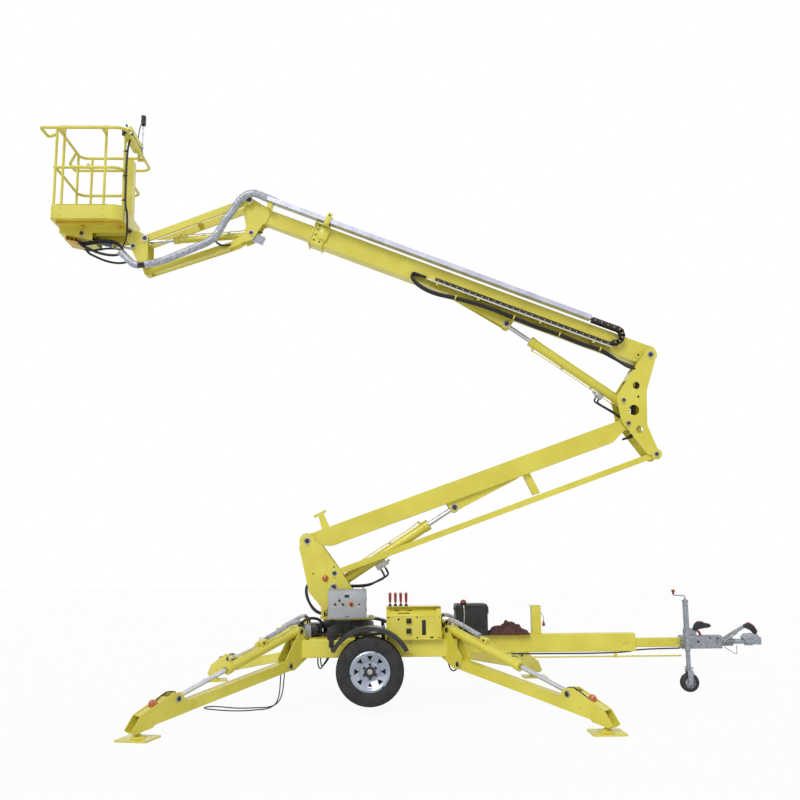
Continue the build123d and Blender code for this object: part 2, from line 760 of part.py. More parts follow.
# Knuckle: two plates with lightening holes, cross plates and pins
with BuildPart() as knuckle:
    k_x = knuckle_pin[0]
    k_z = knuckle_pin[1]
    for side in (-1, 1):
        with BuildSketch(side_plane(side * (knuckle_plate_y + plate / 2))) as knuckle_sketch:
            with BuildLine():
                Polyline((k_x + 203, k_z - 359), (k_x + 341, k_z - 359), (k_x + 212, k_z - 24),
                         (k_x + 226, k_z + 370), (k_x + 362, k_z + 790), (k_x + 290, k_z + 858),
                         (k_x + 145, k_z + 708), (k_x - 120, k_z + 300), (k_x - 76, k_z + 24), close=True)
            make_face()
            with Locations(boom_pivot):
                Circle(76)
            with Locations(link_head):
                Circle(60)
            with Locations(boom_jack_foot):
                Circle(76)
            for hole_x, hole_z, hole_radius in ((109, 430, 42), (70, 150, 59), (124, -72, 40)):
                with Locations((k_x + hole_x, k_z + hole_z)):
                    Circle(hole_radius, mode=Mode.SUBTRACT)
        extrude(amount=plate / 2, both=True)
    for start, end in (((203, -10), (217, 340)), ((20, 505), (85, 600))):
        first = (k_x + start[0], k_z + start[1])
        second = (k_x + end[0], k_z + end[1])
        with BuildSketch(member(first, angle_between(first, second))):
            with Locations((math.dist(first, second) / 2, 0)):
                Rectangle(math.dist(first, second), plate)
        extrude(amount=knuckle_plate_y + 1, both=True)
    for pin_place, radius in ((knuckle_pin, pin_radius), (boom_pivot, pin_radius), (boom_jack_foot, pin_radius),
                              (link_head, link_pin_radius)):
        with BuildSketch(member(pin_place, 0)):
            Circle(radius)
        extrude(amount=knuckle_plate_y + plate + 10, both=True)
finish(knuckle, "knuckle")

# Outer boom: hollow tube with its pivot boss, front collar and cylinder lugs
boom_side = member(boom_pivot, boom_angle)
with BuildPart() as boom_outer:
    with BuildSketch(boom_side):
        with BuildLine():
            Polyline((-26, boom_above), (outer_length, boom_above), (outer_length, -boom_below),
                     (136, -boom_below), (-70, -30), close=True)
        make_face()
        Circle(80)
    extrude(amount=boom_width / 2, both=True)
    bore_above = boom_above - tube_wall
    bore_below = boom_below - tube_wall
    with BuildSketch(boom_side):
        with BuildLine():
            Polyline((150, bore_above), (outer_length + 20, bore_above), (outer_length + 20, -bore_below),
                     (150, -bore_below), close=True)
        make_face()
    extrude(amount=boom_width / 2 - tube_wall, both=True, mode=Mode.SUBTRACT)
    # collar round the open end
    with BuildSketch(boom_side):
        with Locations((outer_length - 90, (boom_above - boom_below) / 2)):
            Rectangle(180, boom_above + boom_below + 24)
    extrude(amount=boom_width / 2 + 12, both=True)
    with BuildSketch(boom_side):
        with Locations((outer_length - 90, (inner_above - inner_below) / 2)):
            Rectangle(400, inner_above + inner_below + 2 * slide_clearance)
    extrude(amount=inner_width / 2 + slide_clearance, both=True, mode=Mode.SUBTRACT)
    with BuildSketch(boom_side):
        Circle(boss_radius)
    extrude(amount=knuckle_plate_y - side_clearance, both=True)
    with BuildSketch(boom_side):
        Circle(pin_radius + pin_clearance)
    extrude(amount=boom_width, both=True, mode=Mode.SUBTRACT)
    with BuildSketch(boom_side):
        with Locations((boom_jack_eye[0] + (slot_reach_front - slot_reach_back) / 2, -boom_below)):
            Rectangle(slot_reach_back + slot_reach_front, 3 * tube_wall)
    extrude(amount=eye_width / 2 + side_clearance, both=True, mode=Mode.SUBTRACT)
    for side in (-1, 1):
        lug_y = side * (eye_width / 2 + side_clearance + plate / 2)
        with BuildSketch(member(boom_pivot, boom_angle, lug_y)):
            with BuildLine():
                Polyline((boom_jack_eye[0] - 70, -boom_below + 4), (boom_jack_eye[0] - 56, boom_jack_eye[1]),
                         (boom_jack_eye[0] + 40, boom_jack_eye[1] - 40), (boom_jack_eye[0] + 740, -boom_below - 8),
                         (boom_jack_eye[0] + 760, -boom_below + 4), close=True)
            make_face()
            with Locations(boom_jack_eye):
                Circle(56)
        extrude(amount=plate / 2, both=True)
        with BuildSketch(member(boom_pivot, boom_angle, side * (eye_width / 2 + side_clearance))):
            with Locations(boom_jack_eye):
                Circle(pin_radius)
        extrude(amount=side * (plate + 8))
finish(boom_outer, "boom_outer")

# Boom cylinder
boom_jack_side = member(boom_jack_foot, angle_between(boom_jack_foot, boom_eye))
finish(build_barrel(boom_jack_side, boom_barrel, boom_barrel_radius, large_rod_radius, pin_radius, 70),
       "boom_barrel")
finish(build_rod(boom_jack_side, math.dist(boom_jack_foot, boom_eye), boom_rod_length, large_rod_radius, 34,
                 eye_width / 2), "boom_rod")

# Inner boom with its tip plates
with BuildPart() as boom_inner:
    with BuildSketch(boom_side):
        with Locations(((inner_start + inner_end) / 2, (inner_above - inner_below) / 2)):
            Rectangle(inner_end - inner_start, inner_above + inner_below)
    extrude(amount=inner_width / 2, both=True)
    with BuildSketch(boom_side):
        with Locations(((inner_start + inner_end) / 2, (inner_above - inner_below) / 2)):
            Rectangle(inner_end - inner_start - 2 * plate, inner_above + inner_below - 2 * thin_wall)
    extrude(amount=inner_width / 2 - thin_wall, both=True, mode=Mode.SUBTRACT)
    # rear wear shoe that fills the outer tube
    with BuildSketch(boom_side):
        with Locations((inner_start + 60, (bore_above - bore_below) / 2)):
            Rectangle(120, bore_above + bore_below - 2 * slide_clearance)
            Rectangle(140, inner_above + inner_below - 2 * thin_wall, mode=Mode.SUBTRACT)
    extrude(amount=boom_width / 2 - tube_wall - slide_clearance, both=True)
    with BuildSketch(boom_side):
        with Locations((inner_start + 60, (inner_above - inner_below) / 2)):
            Rectangle(120 - 2 * plate, inner_above + inner_below - 2 * thin_wall)
    extrude(amount=inner_width / 2 - thin_wall, both=True, mode=Mode.SUBTRACT)
    for side in (-1, 1):
        with BuildSketch(member(boom_pivot, boom_angle, side * (tip_plate_y - 7.5))):
            with BuildLine():
                Polyline((inner_end - 40, inner_above), (tip_pin[0] - 20, tip_pin[1] + 44),
                         (tip_pin[0] + 40, tip_pin[1] + 20), (tip_pin[0] + 30, -60), (inner_end + 165, -216),
                         (inner_end + 150, -300), (inner_end + 100, -400), (inner_end + 30, -330),
                         (inner_end - 10, -120), (inner_end - 40, -inner_below), close=True)
            make_face()
            with Locations(tip_pin):
                Circle(44)
        extrude(amount=7.5, both=True)
    for pin_place, radius, reach in ((jib_pin, pin_radius, jib_bar_y + jib_bar_width / 2 + 12),
                                     (jib_link_pin, 20, tip_plate_y + 10)):
        with BuildSketch(member(pin_place, 0)):
            Circle(radius)
        extrude(amount=reach, both=True)
    # bracket under the front end of the hose tray
    with BuildSketch(member(boom_pivot, boom_angle, -inner_width / 2 + thin_wall)):
        with Locations((inner_end - 20, (inner_above + tray_bottom) / 2 - 6)):
            Rectangle(50, tray_bottom - inner_above + 12 - 2 * pin_clearance)
    extrude(amount=-(-tray_y + tray_width / 2 - inner_width / 2 - 20))
finish(boom_inner, "boom_inner")

# Hose tray above the boom, carried by the tip
with BuildPart() as hose_tray:
    with BuildSketch(member(boom_pivot, boom_angle, tray_y)):
        with Locations(((tray_start + tray_end) / 2, tray_bottom + tray_depth / 2)):
            Rectangle(tray_end - tray_start, tray_depth)
    extrude(amount=tray_width / 2, both=True)
    with BuildSketch(member(boom_pivot, boom_angle, tray_y)):
        with Locations(((tray_start + tray_end) / 2, tray_bottom + tray_depth / 2 + tray_wall)):
            Rectangle(tray_end - tray_start + 20, tray_depth)
    extrude(amount=tray_width / 2 - tray_wall, both=True, mode=Mode.SUBTRACT)
finish(hose_tray, "hose_tray")

# Chain track on the side of the outer boom, with the fixed lower run of the chain
chain_near_y = -(boom_width / 2 + side_clearance)
with BuildPart() as chain_track:
    track_mid = (track_start + track_end) / 2
    with BuildSketch(member(boom_pivot, boom_angle, -boom_width / 2 - pin_clearance)):
        with Locations((track_mid, chain_floor - 3)):
            Rectangle(track_end - track_start, 6)
        with Locations((track_end - 50, chain_floor + chain_height / 2)):
            Rectangle(60, chain_height + 20)
    extrude(amount=-(chain_width + 12))
    with BuildSketch(member(boom_pivot, boom_angle, chain_near_y)):
        with Locations((track_mid, chain_floor + chain_height / 2 - 1)):
            Rectangle(track_end - track_start - 40, chain_height + 2)
    extrude(amount=-chain_width)
finish(chain_track, "chain_track")

# Loop of the chain with its upper run, which follows the telescope at half speed
with BuildPart() as chain_loop:
    loop_bottom = chain_floor + chain_height + 5
    loop_top = tray_bottom + chain_height
    loop_radius = (loop_top - loop_bottom) / 2
    with BuildSketch(member(boom_pivot, boom_angle, chain_near_y)):
        with Locations((track_start, (loop_top + loop_bottom) / 2)):
            Circle(loop_radius)
        with Locations(((track_start + tray_start - pin_clearance) / 2, loop_top - chain_height / 2)):
            Rectangle(tray_start - pin_clearance - track_start, chain_height)
        with Locations((track_start + 60, loop_bottom + chain_height / 2)):
            Rectangle(120, chain_height)
        with Locations((track_start, (loop_top + loop_bottom) / 2)):
            Circle(loop_radius - chain_height, mode=Mode.SUBTRACT)
        with Locations((track_start + loop_radius / 2, (loop_top + loop_bottom) / 2)):
            Rectangle(loop_radius, 2 * (loop_radius - chain_height), mode=Mode.SUBTRACT)
    extrude(amount=-chain_width)
finish(chain_loop, "chain_loop")

# Jib arms
jib_side = member(jib_pin, jib_angle)
with BuildPart() as jib_upper_arm:
    for side in (-1, 1):
        with BuildSketch(member(jib_pin, jib_angle, side * jib_bar_y)):
            with Locations((jib_arm / 2, 0)):
                Rectangle(jib_arm, jib_bar_height)
            with Locations((0, 0), (jib_arm, 0)):
                Circle(jib_bar_height / 2)
                Circle(pin_radius + pin_clearance, mode=Mode.SUBTRACT)
        extrude(amount=jib_bar_width / 2, both=True)
    with BuildSketch(jib_side):
        with Locations((jib_arm / 2, 20)):
            Rectangle(60, 10)
    extrude(amount=jib_bar_y, both=True)
finish(jib_upper_arm, "jib_upper_arm")

with BuildPart() as jib_lower_arm:
    lower_side = member(jib_link_pin, jib_angle)
    for side in (-1, 1):
        with BuildSketch(member(jib_link_pin, jib_angle, side * 63)):
            with BuildLine():
                Polyline((-30, 26), (60, 30), (260, -10), (jib_arm, 34), (jib_arm, -34), (300, -78),
                         (180, -78), (-20, -30), close=True)
            make_face()
            with Locations((0, 0), (jib_arm, 0)):
                Circle(36)
                Circle(20 + pin_clearance, mode=Mode.SUBTRACT)
        extrude(amount=6, both=True)
    with BuildSketch(lower_side):
        with BuildLine():
            Polyline((300, -70), (jib_arm - 70, -32), (jib_arm - 70, -24), (300, -62), close=True)
        make_face()
    extrude(amount=64, both=True)
finish(jib_lower_arm, "jib_lower_arm")

# Jib cylinder, from the lower tip pin to the upper head pin
jib_jack_side = member(jib_link_pin, angle_between(jib_link_pin, head_pin))
finish(build_barrel(jib_jack_side, jib_barrel, jib_barrel_radius, jib_rod_radius, 20, 50), "jib_barrel")
finish(build_rod(jib_jack_side, math.dist(jib_link_pin, head_pin), jib_rod_length, jib_rod_radius, 34, 35), "jib_rod")

# Jib head plates with the pins of both arms and the basket
with BuildPart() as jib_head:
    h_x = head_pin[0]
    h_z = head_pin[1]
    for side in (-1, 1):
        with BuildSketch(side_plane(side * (head_plate_y + plate / 2))):
            with BuildLine():
                Polyline((h_x - 191, h_z + 106), (h_x - 53, h_z + 71), (h_x + 36, h_z + 24),
                         (h_x + 41, h_z - 265), (h_x + 20, h_z - 285), (h_x - 74, h_z - 286),
                         (h_x - 160, h_z - 96), (h_x - 206, h_z - 20), close=True)
            make_face()
            with Locations(basket_pin):
                Circle(40)
        extrude(amount=plate / 2, both=True)
        with BuildSketch(side_plane(side * head_plate_y)):
            with Locations(head_pin):
                Circle(pin_radius)
        extrude(amount=side * 60)
        with BuildSketch(side_plane(side * (head_plate_y + plate))):
            with Locations(head_pin):
                Circle(pin_radius)
        extrude(amount=-side * 8)
    with BuildSketch(member((h_x - 20, h_z - 275), 0)):
        Rectangle(90, 14)
    extrude(amount=head_plate_y + 1, both=True)
    with BuildSketch(side_plane(0)):
        with BuildLine():
            Polyline((h_x - 60, h_z - 270), (head_link_pin[0] - 40, head_link_pin[1]),
                     (head_link_pin[0] + 40, head_link_pin[1]), (h_x + 20, h_z - 270), close=True)
        make_face()
        with Locations(head_link_pin):
            Circle(38)
    extrude(amount=50, both=True)
    for pin_place, radius, reach in ((head_link_pin, 20, 76), (basket_pin, 20, head_plate_y + plate + 8)):
        with BuildSketch(member(pin_place, 0)):
            Circle(radius)
        extrude(amount=reach, both=True)
    # stub pins of the levelling cylinder
    for side in (-1, 1):
        with BuildSketch(Plane(origin=(levelling_pin[0], side * (level_eye + side_clearance), levelling_pin[1]),
                               x_dir=(1, 0, 0), z_dir=(0, side, 0))):
            Circle(20)
        extrude(amount=head_plate_y + plate + 8 - level_eye - side_clearance)
finish(jib_head, "jib_head")

# Basket tub: floor, toe board, levelling box and the plates that hang on the basket pin
with BuildPart() as basket_floor:
    tub_middle = (tub_left + tub_right) / 2
    tub_length = tub_right - tub_left
    for start_z, wall, mode in ((tub_z, 0, Mode.ADD), (tub_z + tub_wall, tub_wall, Mode.SUBTRACT)):
        with BuildSketch(Plane.XY.offset(start_z)) as tub_sketch:
            with Locations((tub_middle, 0)):
                Rectangle(tub_length - 2 * wall, 2 * (tub_half_width - wall))
            fillet(tub_sketch.vertices().group_by(Axis.X)[-1], tub_corner - wall)
            fillet(tub_sketch.vertices().group_by(Axis.X)[0], tub_left_corner - wall)
        extrude(amount=toe_board_height, mode=mode)
    for side in (-1, 1):
        # side plate of the levelling box
        with BuildSketch(side_plane(side * level_box_y)):
            with BuildLine():
                Polyline((tub_left + 20, tub_z + 1), (tub_left + 20, tub_z - 74), (tub_left + 400, tub_z - 160),
                         (tub_left + 400, tub_z - 75), (tub_right - 20, tub_z - 75), (tub_right - 20, tub_z + 1),
                         close=True)
            make_face()
        extrude(amount=4, both=True)
        # hanging plate
        with BuildSketch(side_plane(side * (head_plate_y - side_clearance - plate / 2))):
            with BuildLine():
                Polyline((basket_pin[0] - 420, tub_z + 1), (basket_pin[0] - 380, tub_z - 90),
                         (basket_pin[0] - 10, basket_pin[1] - 38), (basket_pin[0], basket_pin[1] + 30),
                         (basket_pin[0] - 30, tub_z + 1), close=True)
            make_face()
            with Locations(basket_pin):
                Circle(38)
                Circle(20 + pin_clearance, mode=Mode.SUBTRACT)
        extrude(amount=plate / 2, both=True)
    # sloping bottom plate of the box and the pin of the levelling cylinder
    with BuildSketch(side_plane(0)):
        with BuildLine():
            Polyline((tub_left + 20, tub_z + 1), (tub_left + 20, tub_z - 74), (tub_left + 400, tub_z - 160),
                     (tub_left + 400, tub_z - 152), (tub_left + 28, tub_z - 68), (tub_left + 28, tub_z + 1), close=True)
        make_face()
    extrude(amount=level_box_y, both=True)
    with BuildSketch(side_plane(0)):
        with Locations(level_foot):
            Circle(20)
    extrude(amount=level_box_y + 12, both=True)
finish(basket_floor, "basket_floor")

# Basket rails: posts, inner top rail, mid rails, outer guard rail, entry bar and back post
with BuildPart() as basket_rails:
    post_foot = tub_z + tub_wall
    rail_left = tub_left + 25
    rail_right = tub_right - 40
    rail_y = tub_half_width - 22
    for post_x, post_y in ((rail_left, -rail_y), (rail_left + 85, -rail_y), (rail_left + 555, -rail_y),
                           (rail_right, -300), (rail_left, rail_y - 96), (rail_left + 140, rail_y),
                           (rail_left + 555, rail_y)):
        with BuildSketch(Plane.XY.offset(post_foot)):
            with Locations((post_x, post_y)):
                Circle(post_radius)
        extrude(amount=top_rail_z + 4 - post_foot)
    routes = (
        (90, ((rail_left, -rail_y, top_rail_z), (rail_left, rail_y, top_rail_z), (rail_right, rail_y, top_rail_z),
              (rail_right, -rail_y, top_rail_z), (rail_left + 555, -rail_y, top_rail_z))),
        (110, ((rail_left - 20, -rail_y, mid_rail_z), (rail_right, -rail_y, mid_rail_z),
               (rail_right, -300, mid_rail_z))),
        (90, ((rail_left, -rail_y, mid_rail_z), (rail_left, rail_y, mid_rail_z), (rail_right, rail_y, mid_rail_z),
               (rail_right, 40, mid_rail_z))),
        (110, ((rail_left - 30, -guard_y, guard_z), (guard_right, -guard_y, guard_z), (guard_right, guard_y, guard_z),
               (rail_left - 30, guard_y, guard_z))),
        (26, ((rail_left - 30, -guard_y, guard_z), (guard_left, -guard_y, guard_z),
              (guard_left + 4, -guard_y + 245, guard_z), (rail_left, -rail_y, guard_z))),
        (26, ((rail_left - 30, guard_y, guard_z), (guard_left, guard_y, guard_z),
              (guard_left - 5, guard_y - 170, guard_z + 20), (rail_left + 5, guard_y - 360, top_rail_z - 5))),
    )
    for bend, points in routes:
        with BuildLine() as route:
            FilletPolyline(*points, radius=bend)
        with BuildSketch(Plane(origin=route.line @ 0, z_dir=route.line % 0)):
            Circle(rail_tube_radius)
        sweep()
    # stays between the inner rail and the guard rail
    for stay_x in (rail_left + 85, rail_left + 555):
        for side in (-1, 1):
            with BuildSketch(Plane(origin=(stay_x, side * rail_y, guard_z + 8), x_dir=(1, 0, 0),
                                   z_dir=(0, side, 0))):
                Rectangle(30, 30)
            extrude(amount=guard_y - rail_y)
    with BuildSketch(Plane(origin=(rail_right, 0, guard_z + 8), x_dir=(0, 1, 0), z_dir=(1, 0, 0))):
        with Locations((-300, 0), (300, 0)):
            Rectangle(30, 30)
    extrude(amount=guard_right - rail_right)
    with BuildSketch(Plane(origin=(rail_right, 300, guard_z - 7), x_dir=(1, 0, 0), z_dir=(0, 0, 1))):
        Circle(post_radius)
    extrude(amount=top_rail_z - guard_z)
    # entry bar between the two posts on the operator's side
    with BuildSketch(Plane(origin=(rail_left + 70, -rail_y, top_rail_z), x_dir=(0, 1, 0), z_dir=(1, 0, 0))):
        Circle(rail_tube_radius + 2)
    extrude(amount=500)
    # back post, a channel open towards the basket
    with BuildSketch(Plane.XY.offset(post_foot)):
        with Locations((rail_right, 0)):
            Rectangle(72, 130)
        with Locations((rail_right - tube_wall, 0)):
            Rectangle(72, 130 - 2 * tube_wall, mode=Mode.SUBTRACT)
    extrude(amount=back_post_top - post_foot)
finish(basket_rails, "basket_rails")

# Control console on the rail, with a steel staff and its sensing head
with BuildPart() as basket_console:
    console_bottom = top_rail_z + rail_tube_radius + pin_clearance
    with BuildSketch(Plane(origin=(rail_right - 10, 50, console_bottom), x_dir=(1, 0, 0), z_dir=(0, 0, 1))):
        Rectangle(110, 540)
    extrude(amount=console_height)
    with BuildSketch(Plane(origin=(rail_right - 10 - 6, 50, console_bottom + 6), x_dir=(1, 0, 0), z_dir=(0, 0, 1))):
        Rectangle(110, 540 - 12)
    extrude(amount=console_height, mode=Mode.SUBTRACT)
    with BuildSketch(Plane(origin=(rail_right - 20, 50, console_bottom + 6), x_dir=(1, 0, 0), z_dir=(0, 0, 1))):
        Rectangle(80, 400)
    extrude(amount=50)
    staff_x = rail_right + 45 + 10
    with BuildSketch(Plane(origin=(staff_x, 250, console_bottom - 60), x_dir=(1, 0, 0), z_dir=(0, 0, 1))):
        Circle(12)
    extrude(amount=400)
    with BuildSketch(Plane(origin=(staff_x, 250, console_bottom + 330), x_dir=(1, 0, 0), z_dir=(0, 0, 1))):
        Rectangle(50, 60)
    extrude(amount=125)
finish(basket_console, "basket_console")

# Levelling cylinder, from the box under the floor to the head
level_side = member(level_foot, angle_between(level_foot, levelling_pin))
finish(build_barrel(level_side, 370, 30, 15, 20, 40), "levelling_barrel")
finish(build_rod(level_side, math.dist(level_foot, levelling_pin), 400, 15, 26, level_eye), "levelling_rod")

# Drawbar: box section, inner bar and boom rest
with BuildPart() as drawbar:
    with BuildSketch(Plane(origin=(frame_centre_x + frame_half_length, 0, drawbar_bottom + drawbar_height / 2),
                           x_dir=(0, 1, 0), z_dir=(1, 0, 0))) as bar_section:
        Rectangle(drawbar_width, drawbar_height)
        fillet(bar_section.vertices(), 12)
        Rectangle(drawbar_width - 2 * tube_wall, drawbar_height - 2 * tube_wall, mode=Mode.SUBTRACT)
    extrude(amount=drawbar_end - frame_centre_x - frame_half_length)
    with BuildSketch(Plane(origin=(drawbar_end - plate, 0, drawbar_bottom + drawbar_height / 2),
                           x_dir=(0, 1, 0), z_dir=(1, 0, 0))):
        Rectangle(drawbar_width - tube_wall, drawbar_height - tube_wall)
    extrude(amount=plate)
    with BuildSketch(Plane(origin=(drawbar_end - 1, 0, inner_bar_bottom + inner_bar_height / 2), x_dir=(0, 1, 0),
                           z_dir=(1, 0, 0))) as inner_section:
        Rectangle(inner_bar_width, inner_bar_height)
        fillet(inner_section.vertices(), 8)
        Rectangle(inner_bar_width - 2 * tube_wall, inner_bar_height - 2 * tube_wall, mode=Mode.SUBTRACT)
    extrude(amount=inner_bar_end - drawbar_end + 1)
    # brake rod on two hangers under the bars
    with BuildSketch(Plane(origin=(axle_x + 1300, brake_rod_y, brake_rod_z), x_dir=(0, 1, 0), z_dir=(1, 0, 0))):
        Circle(8)
    extrude(amount=inner_bar_end - axle_x - 1300 - 2)
    for hanger_x in (axle_x + 1500, axle_x + 2660):
        with BuildSketch(Plane(origin=(hanger_x, brake_rod_y, (brake_rod_z + drawbar_bottom) / 2 - 6),
                               x_dir=(0, 1, 0), z_dir=(1, 0, 0))):
            Rectangle(30, drawbar_bottom - brake_rod_z + 20)
        extrude(amount=6)
    stow_angle = riser_angle + riser_stow_turn
    strut_foot = on_member(riser_foot, stow_angle, (2568, -385))
    rest_top = strut_foot[1] - 8
    drawbar_top = drawbar_bottom + drawbar_height
    with BuildSketch(Plane.XY.offset(drawbar_top)):
        with Locations((strut_foot[0], 0)):
            Rectangle(100, 100)
    extrude(amount=rest_top - drawbar_top)
finish(drawbar, "drawbar")

# Jockey wheel: clamp tube, leg and wheel
with BuildPart() as jockey_tube:
    with BuildSketch(Plane(origin=(jockey_x, jockey_y, 520), x_dir=(1, 0, 0), z_dir=(0, 0, 1))):
        Circle(jockey_tube_radius)
        Circle(jockey_leg_radius + pin_clearance, mode=Mode.SUBTRACT)
    extrude(amount=520)
    clamp_reach = -housing_half_width - pin_clearance - jockey_y
    with BuildSketch(Plane(origin=(jockey_x, jockey_y, 575), x_dir=(1, 0, 0), z_dir=(0, 0, 1))):
        with Locations((0, clamp_reach / 2)):
            Rectangle(80, clamp_reach)
        Circle(jockey_tube_radius + 10)
        Circle(jockey_tube_radius - 1, mode=Mode.SUBTRACT)
    extrude(amount=60)
finish(jockey_tube, "jockey_tube")
with BuildPart() as jockey_leg:
    with BuildSketch(Plane(origin=(jockey_x, jockey_y, jockey_wheel_z + 120), x_dir=(1, 0, 0), z_dir=(0, 0, 1))):
        Circle(jockey_leg_radius)
    extrude(amount=600)
    with BuildSketch(Plane(origin=(jockey_x, jockey_y, jockey_wheel_z + 120), x_dir=(1, 0, 0), z_dir=(0, 0, 1))):
        Rectangle(60, 96)
    extrude(amount=8)
    for side in (-1, 1):
        with BuildSketch(side_plane(jockey_y + side * 44)):
            with Locations((jockey_x, jockey_wheel_z + 50)):
                Rectangle(50, 150)
        extrude(amount=4, both=True)
    with BuildSketch(side_plane(jockey_y)):
        with Locations((jockey_x, jockey_wheel_z)):
            Circle(10)
    extrude(amount=54, both=True)
finish(jockey_leg, "jockey_leg")
with BuildPart() as jockey_wheel:
    with BuildSketch(side_plane(jockey_y)):
        with Locations((jockey_x, jockey_wheel_z)):
            Circle(jockey_wheel_radius)
            Circle(10 + pin_clearance, mode=Mode.SUBTRACT)
    extrude(amount=36, both=True)
finish(jockey_wheel, "jockey_wheel")

# Coupling: inertia housing, bellows, shaft and ball cup
with BuildPart() as coupling_housing:
    bar_mid = inner_bar_bottom + inner_bar_height / 2
    housing_start = inner_bar_end - 1 + pin_clearance + 1
    shaft_end = coupling_x - 130
    with BuildSketch(Plane(origin=(housing_start, 0, bar_mid), x_dir=(0, 1, 0), z_dir=(1, 0, 0))):
        Rectangle(2 * housing_half_width, 130)
    extrude(amount=housing_length)
    with BuildSketch(Plane(origin=(housing_start + housing_length, 0, bar_mid), x_dir=(0, 1, 0), z_dir=(1, 0, 0))):
        Circle(28)
    extrude(amount=shaft_end - pin_clearance - housing_start - housing_length)
    # bellows round the shaft
    with BuildSketch(Plane(origin=(housing_start + housing_length - 1, 0, bar_mid), x_dir=(0, 1, 0), z_dir=(1, 0, 0))):
        Circle(48)
    extrude(amount=130)
    # pivot of the handbrake lever
    with BuildSketch(side_plane(-housing_half_width + 1)):
        with Locations(lever_pivot):
            Circle(12)
    extrude(amount=30)
finish(coupling_housing, "coupling_housing")
with BuildPart() as handbrake_lever:
    lever_length = math.dist(lever_pivot, lever_tip)
    with BuildSketch(member(lever_pivot, angle_between(lever_pivot, lever_tip), -housing_half_width - 14)):
        Circle(30)
        with Locations((lever_length / 2, 0)):
            Rectangle(lever_length, 26)
        Circle(12 + pin_clearance, mode=Mode.SUBTRACT)
    extrude(amount=6, both=True)
    with BuildSketch(member(lever_pivot, angle_between(lever_pivot, lever_tip), -housing_half_width - 14)):
        with Locations((lever_length - 60, 0)):
            Rectangle(130, 34)
    extrude(amount=14, both=True)
finish(handbrake_lever, "handbrake_lever")
with BuildPart() as coupling_head:
    with BuildSketch(Plane(origin=(shaft_end, 0, bar_mid), x_dir=(0, 1, 0), z_dir=(1, 0, 0))):
        Circle(46)
    extrude(amount=80)
    with BuildSketch(Plane(origin=(coupling_x, 0, bar_mid - 34), x_dir=(1, 0, 0), z_dir=(0, 0, 1))):
        Circle(52)
    extrude(amount=76)
    with BuildSketch(Plane(origin=(coupling_x - 60, 0, bar_mid), x_dir=(0, 1, 0), z_dir=(1, 0, 0))):
        Rectangle(70, 60)
    extrude(amount=60)
    with BuildSketch(Plane(origin=(coupling_x, 0, bar_mid - 34), x_dir=(1, 0, 0), z_dir=(0, 0, 1))):
        Circle(coupling_ball_radius)
    extrude(amount=34, mode=Mode.SUBTRACT)
finish(coupling_head, "coupling_head")

# Hydraulic box with its levers, on the near rail
with BuildPart() as hydraulic_box:
    with BuildSketch(Plane(origin=(hydraulic_left, 0, 0), x_dir=(0, 1, 0), z_dir=(1, 0, 0))):
        with BuildLine():
            Polyline((hydraulic_near, rail_top + pin_clearance), (hydraulic_near, hydraulic_top - 90),
                     (hydraulic_near + 80, hydraulic_top), (hydraulic_far, hydraulic_top),
                     (hydraulic_far, rail_top + pin_clearance), close=True)
        make_face()
    extrude(amount=hydraulic_right - hydraulic_left)
    # four control levers and two square knobs
    for lever in range(4):
        lever_x = hydraulic_left + 40 + 56 * lever
        with BuildSketch(Plane(origin=(lever_x, hydraulic_near + 130, hydraulic_top - 1), x_dir=(1, 0, 0),
                               z_dir=(0, 0, 1))):
            Circle(6)
        extrude(amount=120)
        with BuildSketch(Plane(origin=(lever_x, hydraulic_near + 130, hydraulic_top + 110), x_dir=(1, 0, 0),
                               z_dir=(0, 0, 1))):
            Circle(15)
        extrude(amount=30)
    with BuildSketch(side_plane(hydraulic_near + 1)):
        with Locations((axle_x + 400, 890), (axle_x + 400, 790)):
            Rectangle(55, 55)
    extrude(amount=25)
finish(hydraulic_box, "hydraulic_box")

# Black power pack cover and the folded cover behind it, both on the drawbar
with BuildPart() as power_pack:
    with BuildSketch(Plane.XY.offset(drawbar_top + pin_clearance)) as pack_sketch:
        with Locations(((pack_left + pack_right) / 2, 0)):
            Rectangle(pack_right - pack_left, 2 * pack_half_width)
        fillet(pack_sketch.vertices(), 24)
    extrude(amount=pack_top - drawbar_top - pin_clearance)
    fillet(power_pack.edges().group_by(Axis.Z)[-1], 18)
finish(power_pack, "power_pack")

with BuildPart() as folded_cover:
    with BuildSketch(Plane(origin=((pack_right + cover_right) / 2 + 1, 0, drawbar_top + pin_clearance),
                           x_dir=(0, 1, 0), z_dir=(1, 0, 0))):
        with BuildLine():
            Polyline((-150, 0), (-160, 40), (-120, 100), (-50, cover_top - drawbar_top), (60, cover_top - drawbar_top - 10),
                     (130, 90), (160, 30), (150, 0), close=True)
        make_face()
    extrude(amount=(cover_right - pack_right) / 2 - 1, both=True)
finish(folded_cover, "folded_cover")

# Cable loop
with BuildPart() as ground_cable:
    with BuildLine() as cable_line:
        FilletPolyline(*[(axle_x + x, y, z) for x, y, z in cable_route], radius=20)
    with BuildSketch(Plane(origin=cable_line.line @ 0, z_dir=cable_line.line % 0)):
        Circle(cable_radius)
    sweep()
finish(ground_cable, "ground_cable")
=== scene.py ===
import math
import random

import bmesh
import bpy
from mathutils import Matrix, Vector


